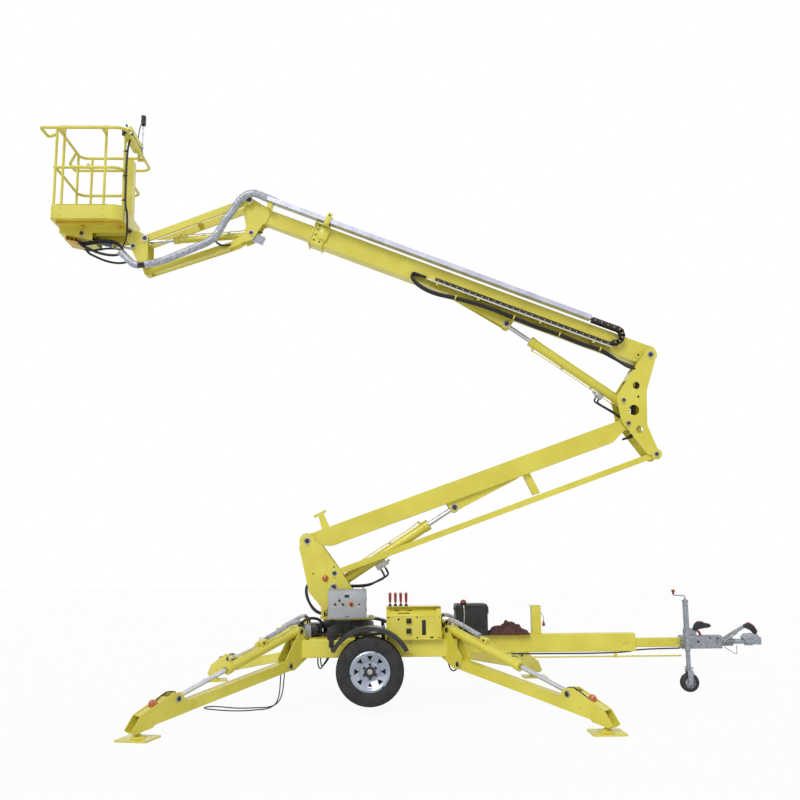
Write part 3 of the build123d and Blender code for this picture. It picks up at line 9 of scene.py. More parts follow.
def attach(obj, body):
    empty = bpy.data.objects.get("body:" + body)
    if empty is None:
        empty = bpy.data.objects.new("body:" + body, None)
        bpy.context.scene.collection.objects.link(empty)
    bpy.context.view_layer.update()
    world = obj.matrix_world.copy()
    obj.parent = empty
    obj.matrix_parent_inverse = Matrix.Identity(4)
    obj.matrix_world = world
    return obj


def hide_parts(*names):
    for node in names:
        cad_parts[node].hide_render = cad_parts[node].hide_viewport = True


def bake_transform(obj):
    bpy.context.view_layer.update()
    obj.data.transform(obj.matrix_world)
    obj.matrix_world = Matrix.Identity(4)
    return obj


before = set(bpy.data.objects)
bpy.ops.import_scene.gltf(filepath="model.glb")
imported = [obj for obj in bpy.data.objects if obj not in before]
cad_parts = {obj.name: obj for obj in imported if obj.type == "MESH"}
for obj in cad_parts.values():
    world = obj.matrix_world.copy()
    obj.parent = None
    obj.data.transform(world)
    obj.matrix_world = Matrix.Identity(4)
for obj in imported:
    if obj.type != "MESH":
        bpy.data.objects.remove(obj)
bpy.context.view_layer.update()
scene = bpy.context.scene
draw = random.Random(7)


layout = {
    "axle": -0.306,
    "wheelZ": 0.412,
    "wheelY": 0.748,
    "frameX": -0.263,
    "slewX": -0.556,
    "riserFoot": (-0.993, 1.722),
    "riserAngle": 19.6,
    "riserLength": 3.81,
    "boomAngle": 158.9,
    "jibAngle": 201.3,
    "jibArm": 1.272,
    "boomWidth": 0.18,
}


def polar(start, length, angle):
    turn = math.radians(angle)
    return (start[0] + length * math.cos(turn), start[1] + length * math.sin(turn))


def inPlane(spot):  # its place in the X-Z plane
    return (spot.x, spot.z)


def onMember(start, angle, along, up, y=0.0):  # point along and above a member in the X-Z plane
    turn = math.radians(angle)
    side = 1 if math.cos(turn) > 0 else -1
    return Vector((start[0] + along * math.cos(turn) - side * up * math.sin(turn), y,
                   start[1] + along * math.sin(turn) + side * up * math.cos(turn)))


riserFoot = layout["riserFoot"]
knucklePin = polar(riserFoot, layout["riserLength"], layout["riserAngle"])
linkFoot = (riserFoot[0] + 0.3, riserFoot[1] - 0.35)
linkHead = (knucklePin[0] + 0.3, knucklePin[1] - 0.35)
boomPivot = (knucklePin[0] + 0.29, knucklePin[1] + 0.786)
boomJackFoot = (knucklePin[0] - 0.041, knucklePin[1] + 0.263)
riserJackFoot = (layout["axle"] - 0.395, 1.226)


def onRiser(along, up, y=0.0):
    return onMember(riserFoot, layout["riserAngle"], along, up, y)


def onBoom(along, up, y=0.0):
    return onMember(boomPivot, layout["boomAngle"], along, up, y)


riserEye = onRiser(1.65, -0.208)
boomEye = onBoom(1.649, -0.225)
jibPin = onBoom(4.931, 0.072)
jibLinkPin = jibPin + Vector((0.02, 0, -0.375))
headPin = jibPin + Vector((layout["jibArm"] * math.cos(math.radians(layout["jibAngle"])), 0,
                           layout["jibArm"] * math.sin(math.radians(layout["jibAngle"]))))
basketPin = headPin + Vector((-0.172, 0, 0.079))
levellingPin = headPin + Vector((-0.129, 0, -0.092))


def onJib(along, up, y=0.0):
    return onMember(inPlane(jibPin), layout["jibAngle"], along, up, y)


camera = {"eye": (-0.2097, -10.56, 1.55), "pitch": 9.4, "yaw": 1.34, "roll": 0.5, "pixels": 943.0, "picture": 800,
          "sensor": 36}
cameraData = bpy.data.cameras.new("Camera")
cameraData.sensor_width = camera["sensor"]
cameraData.lens = camera["pixels"] / camera["picture"] * camera["sensor"]
cameraObject = bpy.data.objects.new("Camera", cameraData)
scene.collection.objects.link(cameraObject)
cameraObject.matrix_world = (Matrix.Translation(camera["eye"])
                             @ Matrix.Rotation(math.radians(-camera["yaw"]), 4, "Z")
                             @ Matrix.Rotation(math.radians(90 + camera["pitch"]), 4, "X")
                             @ Matrix.Rotation(math.radians(-camera["roll"]), 4, "Z"))
scene.camera = cameraObject
scene.view_settings.view_transform = "Standard"

light = {"world": 0.46, "key": 1.35, "keyAngle": 28, "keyTurn": (50, 6, -28), "fill": 0.36, "fillAngle": 60,
         "fillTurn": (62, 0, 120), "floorGlow": 0.93}
for lampName, energy, spread, turn in (("Key", light["key"], light["keyAngle"], light["keyTurn"]),
                                       ("Fill", light["fill"], light["fillAngle"], light["fillTurn"])):
    lampData = bpy.data.lights.new(lampName, "SUN")
    lampData.energy = energy
    lampData.angle = math.radians(spread)
    lamp = bpy.data.objects.new(lampName, lampData)
    lamp.rotation_euler = [math.radians(a) for a in turn]
    scene.collection.objects.link(lamp)


def addNode(tree, kind, inputs=None, **settings):  # inputs are values, or sockets to link from
    node = tree.nodes.new("ShaderNode" + kind)
    for key, value in settings.items():
        setattr(node, key, value)
    for key, value in (inputs or {}).items():
        if isinstance(value, bpy.types.NodeSocket):
            tree.links.new(value, node.inputs[key])
        else:
            node.inputs[key].default_value = value
    return node


world = bpy.data.worlds.new("World")
scene.world = world
world.use_nodes = True
sky = world.node_tree
path = addNode(sky, "LightPath").outputs
seen = addNode(sky, "Math", {0: path["Is Camera Ray"], 1: path["Is Glossy Ray"]}, operation="MAXIMUM")
seen = addNode(sky, "Math", {0: seen.outputs[0], 1: path["Is Transmission Ray"]}, operation="MAXIMUM")
plain = sky.nodes["Background"]
plain.inputs["Color"].default_value = (0.93, 0.96, 1.0, 1)
plain.inputs["Strength"].default_value = light["world"]
white = addNode(sky, "Background", {"Color": (1, 1, 1, 1), "Strength": 1.0})
choose = addNode(sky, "MixShader", {0: seen.outputs[0], 1: plain.outputs[0], 2: white.outputs[0]})
sky.links.new(choose.outputs[0], sky.nodes["World Output"].inputs["Surface"])

floorMesh = bpy.data.meshes.new("Floor")
floorMaker = bmesh.new()
bmesh.ops.create_grid(floorMaker, x_segments=2, y_segments=2, size=40)
floorMaker.to_mesh(floorMesh)
floorMaker.free()
floor = bpy.data.objects.new("Floor", floorMesh)
scene.collection.objects.link(floor)
floorPaint = bpy.data.materials.new("FloorPaint")
floorPaint.use_nodes = True
ground = floorPaint.node_tree
shade = ground.nodes["Principled BSDF"]
shade.inputs["Base Color"].default_value = (0.93, 0.93, 0.93, 1)
shade.inputs["Roughness"].default_value = 0.9
glow = addNode(ground, "Emission").outputs[0]
share = addNode(ground, "Math", {0: addNode(ground, "LightPath").outputs["Is Camera Ray"], 1: light["floorGlow"]},
                operation="MULTIPLY").outputs[0]
ground.links.new(addNode(ground, "MixShader", {0: share, 1: shade.outputs[0], 2: glow}).outputs[0],
                 ground.nodes["Material Output"].inputs["Surface"])
floorMesh.materials.append(floorPaint)
print("stage done")


def rgb(r, g, b):  # linear colour of an sRGB one given in 0 to 255
    def line(v):
        v /= 255
        return v / 12.92 if v <= 0.04045 else ((v + 0.055) / 1.055) ** 2.4
    return (line(r), line(g), line(b), 1)


surfaceTable = {
    "yellow_paint": dict(base=rgb(232, 221, 86), shade=rgb(220, 207, 70), wear=rgb(150, 140, 90), wearShare=0.25,
                         grain=3, rough=(0.3, 0.46), coat=0.25, bump=0.03, bumpScale=240),
    "grey_paint": dict(base=rgb(188, 190, 193), shade=rgb(172, 174, 178), wear=rgb(120, 120, 120), wearShare=0.3,
                       grain=5, rough=(0.38, 0.5), coat=0.15, bump=0.05, bumpScale=400),
    "silver_paint": dict(base=rgb(178, 186, 202), shade=rgb(150, 158, 176), wear=rgb(110, 112, 118), wearShare=0.3,
                         grain=9, rough=(0.28, 0.42), metal=0.55, coat=0.3, bump=0.03, bumpScale=500),
    "black_paint": dict(base=rgb(38, 38, 40), shade=rgb(26, 26, 28), wear=rgb(96, 94, 90), wearShare=0.45,
                        grain=6, rough=(0.38, 0.55), coat=0.2, bump=0.06, bumpScale=220),
    "black_plastic": dict(base=rgb(34, 34, 36), shade=rgb(24, 24, 26), wear=rgb(70, 70, 72), wearShare=0.4,
                          grain=14, rough=(0.42, 0.62), bump=0.1, bumpScale=700),
    "galvanised": dict(base=rgb(166, 171, 178), shade=rgb(148, 153, 160), wear=rgb(205, 206, 208), wearShare=0.4,
                       grain=26, rough=(0.32, 0.5), metal=0.8, bump=0.06, bumpScale=120, cells=True),
    "chrome_rod": dict(base=rgb(214, 218, 224), shade=rgb(196, 200, 208), wear=rgb(230, 230, 232), wearShare=0.2,
                       grain=8, rough=(0.08, 0.17), metal=1.0, bump=0.01, bumpScale=900),
    "tray_aluminium": dict(base=rgb(206, 207, 222), shade=rgb(184, 186, 202), wear=rgb(228, 228, 236), wearShare=0.3,
                           grain=5, rough=(0.26, 0.4), metal=0.85, bump=0.04, bumpScale=320),
    "tyre_rubber": dict(base=rgb(30, 30, 32), shade=rgb(48, 46, 44), wear=rgb(86, 82, 76), wearShare=0.5,
                        grain=7, rough=(0.62, 0.85), bump=0.12, bumpScale=500),
    "hose_rubber": dict(base=rgb(24, 24, 26), shade=rgb(36, 36, 38), wear=rgb(60, 60, 60), wearShare=0.3,
                        grain=20, rough=(0.45, 0.62), bump=0.14, bumpScale=900),
    "red_grip": dict(base=rgb(160, 26, 34), shade=rgb(126, 20, 28), wear=rgb(190, 80, 80), wearShare=0.3,
                     grain=12, rough=(0.3, 0.45), coat=0.3, bump=0.04, bumpScale=500),
    "cover_fabric": dict(base=rgb(92, 48, 48), shade=rgb(62, 34, 36), wear=rgb(146, 96, 88), wearShare=0.35,
                         grain=9, rough=(0.6, 0.85), bump=0.25, bumpScale=1400, weave=True),
    "orange_lens": dict(base=rgb(206, 104, 26), shade=rgb(182, 82, 20), wear=rgb(240, 150, 80), wearShare=0.2,
                        grain=16, rough=(0.12, 0.2), coat=0.6, bump=0.1, bumpScale=300),
    "film_wrap": dict(base=rgb(196, 199, 206), shade=rgb(150, 154, 164), wear=rgb(240, 240, 244), wearShare=0.3,
                      grain=32, rough=(0.16, 0.34), coat=0.5, bump=0.6, bumpScale=46),
    "blue_film": dict(base=rgb(108, 122, 142), shade=rgb(66, 74, 92), wear=rgb(196, 204, 216), wearShare=0.3,
                      grain=30, rough=(0.18, 0.34), coat=0.5, bump=0.6, bumpScale=60),
    "zinc_bolt": dict(base=rgb(190, 190, 186), shade=rgb(158, 156, 150), wear=rgb(214, 212, 206), wearShare=0.3,
                      grain=40, rough=(0.28, 0.42), metal=0.9, bump=0.05, bumpScale=700),
    "pale_plate": dict(base=rgb(226, 226, 222), shade=rgb(210, 210, 206), wear=rgb(170, 170, 166), wearShare=0.3,
                       grain=16, rough=(0.35, 0.5), coat=0.1, bump=0.03, bumpScale=300),
    # a deeper, golden copy of the yellow paint: under the basket floor it is painted shade, the golden look of the
    # paint's underside in shade; it also colours the stop button ring and the chain rivets
    "golden_yellow_and_painted_shade": dict(base=rgb(226, 186, 40), shade=rgb(210, 168, 30), wear=rgb(150, 120, 60), wearShare=0.25,
                        grain=6, rough=(0.32, 0.46), coat=0.2, bump=0.03, bumpScale=240),
}


def makeSurface(name, spec):  # paint, metal, rubber or cloth with patches, fine grain and worn edges
    material = bpy.data.materials.new(name)
    material.use_nodes = True
    tree = material.node_tree
    shader = tree.nodes["Principled BSDF"]
    place = addNode(tree, "TexCoord").outputs["Object"]

    def noise(scale, detail):
        return addNode(tree, "TexNoise", {"Scale": scale, "Detail": detail, "Vector": place}).outputs["Fac"]

    def ranged(value, low, high, start=0.0, end=1.0):
        return addNode(tree, "MapRange", {"From Min": low, "From Max": high, "To Min": start, "To Max": end,
                                          "Value": value}).outputs["Result"]

    def mixed(share, first, second):
        return addNode(tree, "Mix", {"A": first, "B": second, "Factor": share}, data_type="RGBA").outputs["Result"]

    if spec.get("cells"):
        spangle = addNode(tree, "TexVoronoi", {"Scale": spec["grain"] * 2, "Vector": place})
        patches = addNode(tree, "SeparateColor", {0: spangle.outputs["Color"]}).outputs[0]
    else:
        patches = noise(spec["grain"], 5)
    colour = mixed(ranged(patches, 0.35, 0.65), spec["base"], spec["shade"])

    rounded = addNode(tree, "Bevel", {"Radius": 0.004}, samples=4).outputs["Normal"]
    flat = addNode(tree, "NewGeometry").outputs["Normal"]
    meet = addNode(tree, "VectorMath", {0: rounded, 1: flat}, operation="DOT_PRODUCT").outputs["Value"]
    worn = addNode(tree, "Math", {0: ranged(meet, 0.995, 0.88),  # edges, broken up by noise
                                  1: ranged(noise(34, 6), 0.5, 0.68, 0.0, spec["wearShare"])}, operation="MULTIPLY")
    tree.links.new(mixed(worn.outputs[0], colour, spec["wear"]), shader.inputs["Base Color"])
    tree.links.new(ranged(noise(spec["grain"] * 2.7, 4), 0.3, 0.7, *spec["rough"]), shader.inputs["Roughness"])
    shader.inputs["Metallic"].default_value = spec.get("metal", 0.0)
    shader.inputs["Coat Weight"].default_value = spec.get("coat", 0.0)
    shader.inputs["Coat Roughness"].default_value = 0.12

    if spec.get("weave"):
        threads = [addNode(tree, "TexWave", {"Scale": 160, "Distortion": 0.6, "Vector": place},
                           bands_direction=axis).outputs["Fac"] for axis in ("X", "Z")]
        height = addNode(tree, "Math", {0: threads[0], 1: threads[1]}, operation="MAXIMUM").outputs[0]
    else:
        height = noise(spec["bumpScale"], 3)
    relief = addNode(tree, "Bump", {"Strength": spec["bump"], "Distance": 0.002, "Height": height, "Normal": rounded})
    tree.links.new(relief.outputs["Normal"], shader.inputs["Normal"])
    return material


surfaces = {name: makeSurface(name, spec) for name, spec in surfaceTable.items()}
print("surfaces done")


def facing(axis):  # turn that takes +Z to an axis
    return Vector(axis).to_track_quat("Z", "Y").to_matrix().to_4x4()


def turnY(angle):
    return Matrix.Rotation(math.radians(angle), 4, "Y")


def bevelEdges(bm, edges, width):
    bmesh.ops.bevel(bm, geom=edges, offset=width, segments=2, profile=0.5, affect="EDGES", material=-1)


def addBlock(bm, centre, size, edge, turn=None):  # box with rounded edges
    place = Matrix.Translation(centre) @ (turn or Matrix.Identity(4)) @ Matrix.Diagonal((*size, 1))
    made = bmesh.ops.create_cube(bm, size=1, matrix=place)
    if edge > 0:
        bevelEdges(bm, list(dict.fromkeys(e for v in made["verts"] for e in v.link_edges)), edge)


def addDisc(bm, centre, axis, radius, depth, sides=24, edge=0.001, top=None):  # disc, rod or hexagon along an axis
    place = Matrix.Translation(Vector(centre) + Vector(axis).normalized() * depth / 2) @ facing(axis)
    made = bmesh.ops.create_cone(bm, cap_ends=True, segments=sides, radius1=radius,
                                 radius2=radius if top is None else top, depth=depth, matrix=place)
    if edge > 0:
        rims = dict.fromkeys(e for v in made["verts"] for e in v.link_edges)
        bevelEdges(bm, [e for e in rims if sides <= 6 or any(len(f.verts) > 4 for f in e.link_faces)], edge)


pole = 0.0001  # radius where a turned shape closes


def addLathe(bm, centre, axis, profile, steps=32):  # turned shape, profile of (height along the axis, radius)
    points = [bm.verts.new((r, 0, h)) for h, r in profile]
    edges = [bm.edges.new(pair) for pair in zip(points, points[1:])]
    bmesh.ops.spin(bm, geom=points + edges, cent=(0, 0, 0), axis=(0, 0, 1), angle=math.tau,
                   steps=steps, use_merge=True, use_duplicate=False)
    grown = dict.fromkeys(v for v in points if v.is_valid)  # all that hangs together with the profile
    front = list(grown)
    while front:
        nearby = [e.other_vert(v) for v in front for e in v.link_edges]
        front = [v for v in dict.fromkeys(nearby) if v not in grown]
        grown.update(dict.fromkeys(front))
    bmesh.ops.remove_doubles(bm, verts=list(grown), dist=0.00005)
    bmesh.ops.transform(bm, matrix=Matrix.Translation(centre) @ facing(axis), verts=[v for v in grown if v.is_valid])


def addBolt(bm, centre, axis, radius=0.008, washer=True):  # hexagon head on a washer
    along = Vector(axis).normalized()
    start = Vector(centre)
    if washer:
        addDisc(bm, start, along, radius * 1.45, radius * 0.25, sides=16, edge=0)
        start = start + along * radius * 0.25
    addDisc(bm, start, along, radius, radius * 0.9, sides=6, edge=radius * 0.08)


def addWasher(bm, centre, axis, inner, outer, depth=0.003):
    addLathe(bm, centre, axis, [(0, inner), (0, outer), (depth * 0.7, outer), (depth, outer - depth * 0.3),
                                (depth, inner), (0, inner)], 28)


def addSlab(bm, outline, low, high, edge):  # plate of an outline in X-Z between two Y values
    front = [bm.verts.new((x, low, z)) for x, z in outline]
    back = [bm.verts.new((x, high, z)) for x, z in outline]
    bm.faces.new(front)
    bm.faces.new(list(reversed(back)))
    rims = []
    for number in range(len(outline)):
        following = (number + 1) % len(outline)
        bm.faces.new((front[following], front[number], back[number], back[following]))
        rims += [bm.edges.get((front[number], front[following])), bm.edges.get((back[number], back[following]))]
    bevelEdges(bm, rims, edge)


slotTable = {"golden_yellow_and_painted_shade": "yellow_paint", "zinc_bolt": None, "pale_plate": None, "orange_lens": None,
             "film_wrap": None, "blue_film": None}


def dress(obj, body, surface, slotName):  # slot "same" stands for the surface's own; the slot is worked out but not used
    obj.data.materials.append(surfaces[surface])
    if body:
        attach(obj, body)
    if slotName == "same":
        slotName = slotTable.get(surface, surface)
    return obj


def makePiece(name, bm, body, surface, slotName="same", sharp=35):  # mesh piece that rides on a body
    bmesh.ops.recalc_face_normals(bm, faces=bm.faces)
    mesh = bpy.data.meshes.new(name)
    bm.to_mesh(mesh)
    bm.free()
    for face in mesh.polygons:
        face.use_smooth = True
    if sharp:
        mesh.set_sharp_from_angle(angle=math.radians(sharp))
    obj = bpy.data.objects.new(name, mesh)
    scene.collection.objects.link(obj)
    return dress(obj, body, surface, slotName)


def makeRoute(name, points, resolution):  # smooth curve through its control points' hull
    curve = bpy.data.curves.new(name, "CURVE")
    curve.dimensions = "3D"
    spline = curve.splines.new("NURBS")
    spline.points.add(len(points) - 1)
    for control, point in zip(spline.points, points):
        control.co = (*point, 1)
    spline.order_u = 3
    spline.use_endpoint_u = True
    curve.resolution_u = resolution
    obj = bpy.data.objects.new(name, curve)
    scene.collection.objects.link(obj)
    return obj


def makeHose(name, points, radius, body, surface="hose_rubber", sides=4):  # hose or cable along a route
    obj = makeRoute(name, points, 8)
    obj.data.bevel_depth = radius
    obj.data.bevel_resolution = sides
    obj.data.use_fill_caps = True
    return dress(obj, body, surface, "same")


cable = {
    "radius": 0.006,
    "route": ((-0.819, -0.4, 0.56), (-0.885, -0.4, 0.56), (-0.925, -0.4, 0.5), (-0.93, -0.41, 0.3),
              (-0.945, -0.415, 0.09), (-1.03, -0.43, 0.011), (-1.18, -0.5, 0.011), (-1.33, -0.56, 0.011),
              (-1.52, -0.5, 0.011), (-1.69, -0.4, 0.011), (-1.745, -0.3, 0.011), (-1.68, -0.22, 0.011),
              (-1.55, -0.27, 0.011), (-1.38, -0.38, 0.011), (-1.2, -0.36, 0.011), (-1.02, -0.33, 0.011),
              (-0.925, -0.33, 0.09), (-0.9, -0.335, 0.3), (-0.895, -0.34, 0.47), (-0.86, -0.34, 0.54),
              (-0.819, -0.34, 0.54)),
    "length": 3.0,
}
cableRoute = [(x + layout["axle"], y, z) for x, y, z in cable["route"]]
groundCable = makeHose("cable_on_ground", cableRoute, cable["radius"], "chassis")
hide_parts("ground_cable")
print("cable done")


finishTable = {
    "axle": "black_paint", "mudguards": "black_paint", "slew_ring": "black_paint", "power_pack": "black_plastic",
    "coupling_housing": "galvanised", "coupling_head": "galvanised", "jockey_tube": "galvanised",
    "jockey_leg": "galvanised", "jockey_wheel": "hose_rubber", "handbrake_lever": "galvanised",
    "control_box": "grey_paint", "hose_tray": "tray_aluminium", "chain_loop": "black_plastic",
    "folded_cover": "cover_fabric",
}
for nodeName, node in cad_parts.items():
    if nodeName.startswith("tyre"):
        finish = "tyre_rubber"
    elif nodeName.startswith("rim"):
        finish = "silver_paint"
    elif "rod" in nodeName:
        finish = "chrome_rod"
    else:
        finish = finishTable.get(nodeName, "yellow_paint")
    node.data.materials.clear()
    node.data.materials.append(surfaces[finish])
print("finishes done")


hub = {"face": 0.0805, "ring": 0.0535, "cap": 0.027, "capFace": 0.0935}
stud = {"count": 6, "circle": 0.0699, "face": 0.044}
valve = {"turn": 112, "circle": 0.176, "face": 0.062}
clip = {"count": 3, "circle": 0.1955, "face": 0.083}
guard = {"start": 28.2, "end": 151.8, "steps": 36,
         "section": ((0.3978, 0.8628), (0.3978, 0.8588), (0.4398, 0.8588), (0.4398, 0.8628))}
guardTurns = [math.radians(guard["start"] + (guard["end"] - guard["start"]) * number / guard["steps"])
              for number in range(guard["steps"] + 1)]
tyre = {
    "steps": 96,
    "profile": ((-0.08, 0.204), (-0.094, 0.212), (-0.099, 0.232), (-0.1025, 0.262), (-0.102, 0.29),
                (-0.1, 0.292), (-0.0995, 0.306), (-0.0975, 0.308), (-0.0945, 0.324), (-0.088, 0.334),
                (-0.078, 0.34), (-0.05, 0.343), (-0.048, 0.336), (-0.042, 0.336), (-0.04, 0.3432),
                (-0.008, 0.3438), (-0.006, 0.3365)),
    "tread": 0.335,
    "notch": 0.005,
    "notchEvery": 3,
}
half = tyre["profile"]
tyreProfile = list(half) + [(-y, r) for y, r in reversed(half)]
for sideName, side in (("near", -1), ("far", 1)):
    bm = bmesh.new()
    centre = Vector((layout["axle"], side * layout["wheelY"], layout["wheelZ"]))
    addLathe(bm, (0, 0, 0), (0, 0, 1), tyreProfile, tyre["steps"])
    bm.faces.ensure_lookup_table()
    notched = []
    for face in bm.faces:
        middle = face.calc_center_median()
        reach = math.hypot(middle.x, middle.y)
        turn = math.atan2(middle.y, middle.x) / math.tau * tyre["steps"]
        lane = 0 if abs(middle.z) > 0.06 else 1
        if reach > tyre["tread"] and int(turn + 200.5 + lane) % tyre["notchEvery"] == 0:
            notched.append(face)
    pushed = bmesh.ops.extrude_discrete_faces(bm, faces=notched)
    for face in pushed["faces"]:
        middle = face.calc_center_median()
        inward = Vector((middle.x, middle.y, 0)).normalized() * -tyre["notch"]
        bmesh.ops.translate(bm, vec=inward, verts=face.verts)
    bmesh.ops.transform(bm, matrix=Matrix.Translation(centre) @ facing((0, side, 0)), verts=bm.verts)
    tyrePiece = makePiece(f"tyre_tread_{sideName}", bm, f"wheel_{sideName}", "tyre_rubber", sharp=24)
    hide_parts(f"tyre_{sideName}")

    def onWheel(spec, degrees):
        turn, reach = math.radians(degrees), spec["circle"]
        return centre + Vector((reach * math.cos(turn), side * spec["face"], reach * math.sin(turn)))

    bm = bmesh.new()
    for number in range(stud["count"]):
        spot = onWheel(stud, 360 / stud["count"] * number + 30)
        addDisc(bm, spot, (0, side, 0), 0.0145, 0.004, sides=20, top=0.011, edge=0)
        addDisc(bm, spot + Vector((0, side * 0.004, 0)), (0, side, 0), 0.011, 0.013, sides=6, edge=0.001)
        addDisc(bm, spot + Vector((0, side * 0.017, 0)), (0, side, 0), 0.006, 0.007, sides=12, edge=0.0008)
    makePiece(f"wheel_nuts_{sideName}", bm, f"wheel_{sideName}", "black_paint", "black_plastic")

    bm = bmesh.new()
    addLathe(bm, centre + Vector((0, side * hub["face"], 0)), (0, side, 0),
             [(0, hub["ring"]), (0.01, hub["ring"]), (0.0145, hub["ring"] - 0.005), (0.0155, hub["cap"] + 0.004),
              (0.0135, hub["cap"] + 0.002), (0.0134, pole)], 40)
    makePiece(f"hub_ring_{sideName}", bm, f"wheel_{sideName}", "black_plastic")
    bm = bmesh.new()
    addLathe(bm, centre + Vector((0, side * hub["capFace"], 0)), (0, side, 0),
             [(0, hub["cap"]), (0.005, hub["cap"]), (0.008, hub["cap"] - 0.003), (0.0095, hub["cap"] * 0.5),
              (0.01, pole)], 32)
    makePiece(f"hub_cap_{sideName}", bm, f"wheel_{sideName}", "zinc_bolt")

    bm = bmesh.new()
    corners = [[bm.verts.new((centre.x + radius * math.cos(turn), side * y, centre.z + radius * math.sin(turn)))
                for radius, y in guard["section"]] for turn in guardTurns]
    for first, second in zip(corners, corners[1:]):
        for step in range(4):
            bm.faces.new((first[step], second[step], second[step - 1], first[step - 1]))
    bm.faces.new(corners[0])
    bm.faces.new(corners[-1])
    makePiece(f"guard_lip_{sideName}", bm, "chassis", "black_paint", None)

    bm = bmesh.new()
    addLathe(bm, onWheel(valve, valve["turn"]), (0, side, 0),
             [(-0.012, pole), (-0.012, 0.006), (0.004, 0.006), (0.006, 0.0042), (0.02, 0.0038), (0.021, 0.0048),
              (0.029, 0.0045), (0.03, pole)], 12)
    for number in range(clip["count"]):
        degrees = 360 / clip["count"] * number + 70
        addBlock(bm, onWheel(clip, degrees), (0.03, 0.006, 0.008), 0.001, turnY(90 - degrees))
    makePiece(f"valve_{sideName}", bm, f"wheel_{sideName}", "hose_rubber")
print("wheels done")


def addPinFace(bm, centre, axis, radius):
    addLathe(bm, centre, axis, [(0, radius), (0.002, radius), (0.003, radius - 0.002), (0.003, 0.006), (0.001, 0.005),
                                (0.001, pole)], 24)


bigPin = {"radius": 0.025, "washer": 0.04}
smallPin = {"radius": 0.02, "washer": 0.031}
pinTable = [
    # body, name, centre in X-Z, outer face of the plate, end of the pin, sizes
    ("turret", "turret", riserFoot, 0.14, 0.15, bigPin),
    ("turret", "turret", linkFoot, 0.14, 0.15, smallPin),
    ("turret", "turret", riserJackFoot, 0.14, 0.15, bigPin),
    ("knuckle", "knuckle", knucklePin, 0.137, 0.147, smallPin),
    ("knuckle", "knuckle", boomPivot, 0.137, 0.147, bigPin),
    ("knuckle", "knuckle", boomJackFoot, 0.137, 0.147, smallPin),
    ("knuckle", "knuckle", linkHead, 0.137, 0.147, smallPin),
    ("boom_inner", "tip", inPlane(jibPin), 0.137, 0.149, bigPin),
    ("boom_inner", "tip", inPlane(jibLinkPin), 0.085, 0.095, smallPin),
    ("jib_head", "head", inPlane(headPin), 0.153, 0.161, bigPin),
    ("jib_head", "head", inPlane(basketPin), 0.153, 0.161, smallPin),
    ("jib_head", "head", inPlane(levellingPin), 0.153, 0.161, smallPin),
    ("riser_boom", "riser_eye", inPlane(riserEye), 0.055, 0.063, bigPin),
    ("boom_outer", "boom_eye", inPlane(boomEye), 0.055, 0.063, bigPin),
    ("basket", "level_box", (layout["axle"] - 3.273, 5.21), 0.194, 0.202, smallPin),
]
pinGroups = {}
for body, group, centre, plateY, endY, size in pinTable:
    faces, rings, bolts = pinGroups.setdefault((body, group), (bmesh.new(), bmesh.new(), bmesh.new()))
    for side in (-1, 1):
        outward = (0, side, 0)
        addLathe(faces, (centre[0], side * endY, centre[1]), outward,
                 [(0, size["radius"]), (0.0015, size["radius"]), (0.003, size["radius"] - 0.002),
                  (0.003, 0.008), (0.0015, 0.006), (0.0015, pole)], 28)
        addWasher(rings, (centre[0], side * plateY, centre[1]), outward, size["radius"] + 0.0005, size["washer"])
        keeper = Vector((centre[0], side * (plateY + 0.004), centre[1] - size["washer"] - 0.009))
        addBlock(bolts, keeper, (0.04, 0.006, 0.014), 0.001)
        for offset in (-0.013, 0.013):
            addBolt(bolts, keeper + Vector((offset, side * 0.003, 0)), outward, 0.0045, washer=False)
for (body, group), (faces, rings, bolts) in pinGroups.items():
    makePiece(f"{group}_pin_faces", faces, body, "black_paint")
    makePiece(f"{group}_pin_washers", rings, body, "zinc_bolt")
    makePiece(f"{group}_pin_keepers", bolts, body, "yellow_paint")
print("pins done")


def dressCylinder(name, body, origin, along, across, length, radius, lineSide):
    along, across = Vector(along).normalized(), Vector(across).normalized()
    up = across.cross(along)
    out = up * lineSide
    steel, yellow = bmesh.new(), bmesh.new()
    addLathe(steel, origin + along * (length + 0.0002), along,
             [(0, radius + 0.004), (0.004, radius + 0.004), (0.006, radius - 0.002), (0.006, radius - 0.016),
              (0, radius - 0.018), (0, radius + 0.004)], 32)
    for start in (0.06, length - 0.075):
        spot = origin + along * start + out * (radius - 0.006)
        addDisc(yellow, spot, out, 0.016, 0.022, sides=20)
        addDisc(steel, spot + out * 0.02, out, 0.011, 0.012, sides=6, edge=0.0008)
        addDisc(steel, spot + out * 0.031, out, 0.0075, 0.01, sides=14)
    for share in (0.3, 0.62):
        spot = origin + along * (length * share) + out * (radius + 0.01)
        addBlock(steel, spot, (0.022, 0.018, 0.03), 0.002, facing(along))
    makePiece(f"{name}_fittings", steel, body, "zinc_bolt")
    makePiece(f"{name}_ports", yellow, body, "yellow_paint")
    lift = radius + 0.02
    points = [origin + along * 0.06 + out * (radius + 0.032), origin + along * 0.064 + out * (radius + 0.036),
              origin + along * 0.11 + out * lift, origin + along * (length * 0.5) + out * lift,
              origin + along * (length - 0.13) + out * lift,
              origin + along * (length - 0.082) + out * (radius + 0.036),
              origin + along * (length - 0.075) + out * (radius + 0.032)]
    makeHose(f"{name}_line", points, 0.0055, body, "yellow_paint")


def cylinderFrame(foot, eye):  # foot, direction and the direction below it
    foot = Vector((foot[0], 0, foot[1]))
    along = (eye - foot).normalized()
    return foot, along, Vector((along.z, 0, -along.x)) * (1 if along.x > 0 else -1)


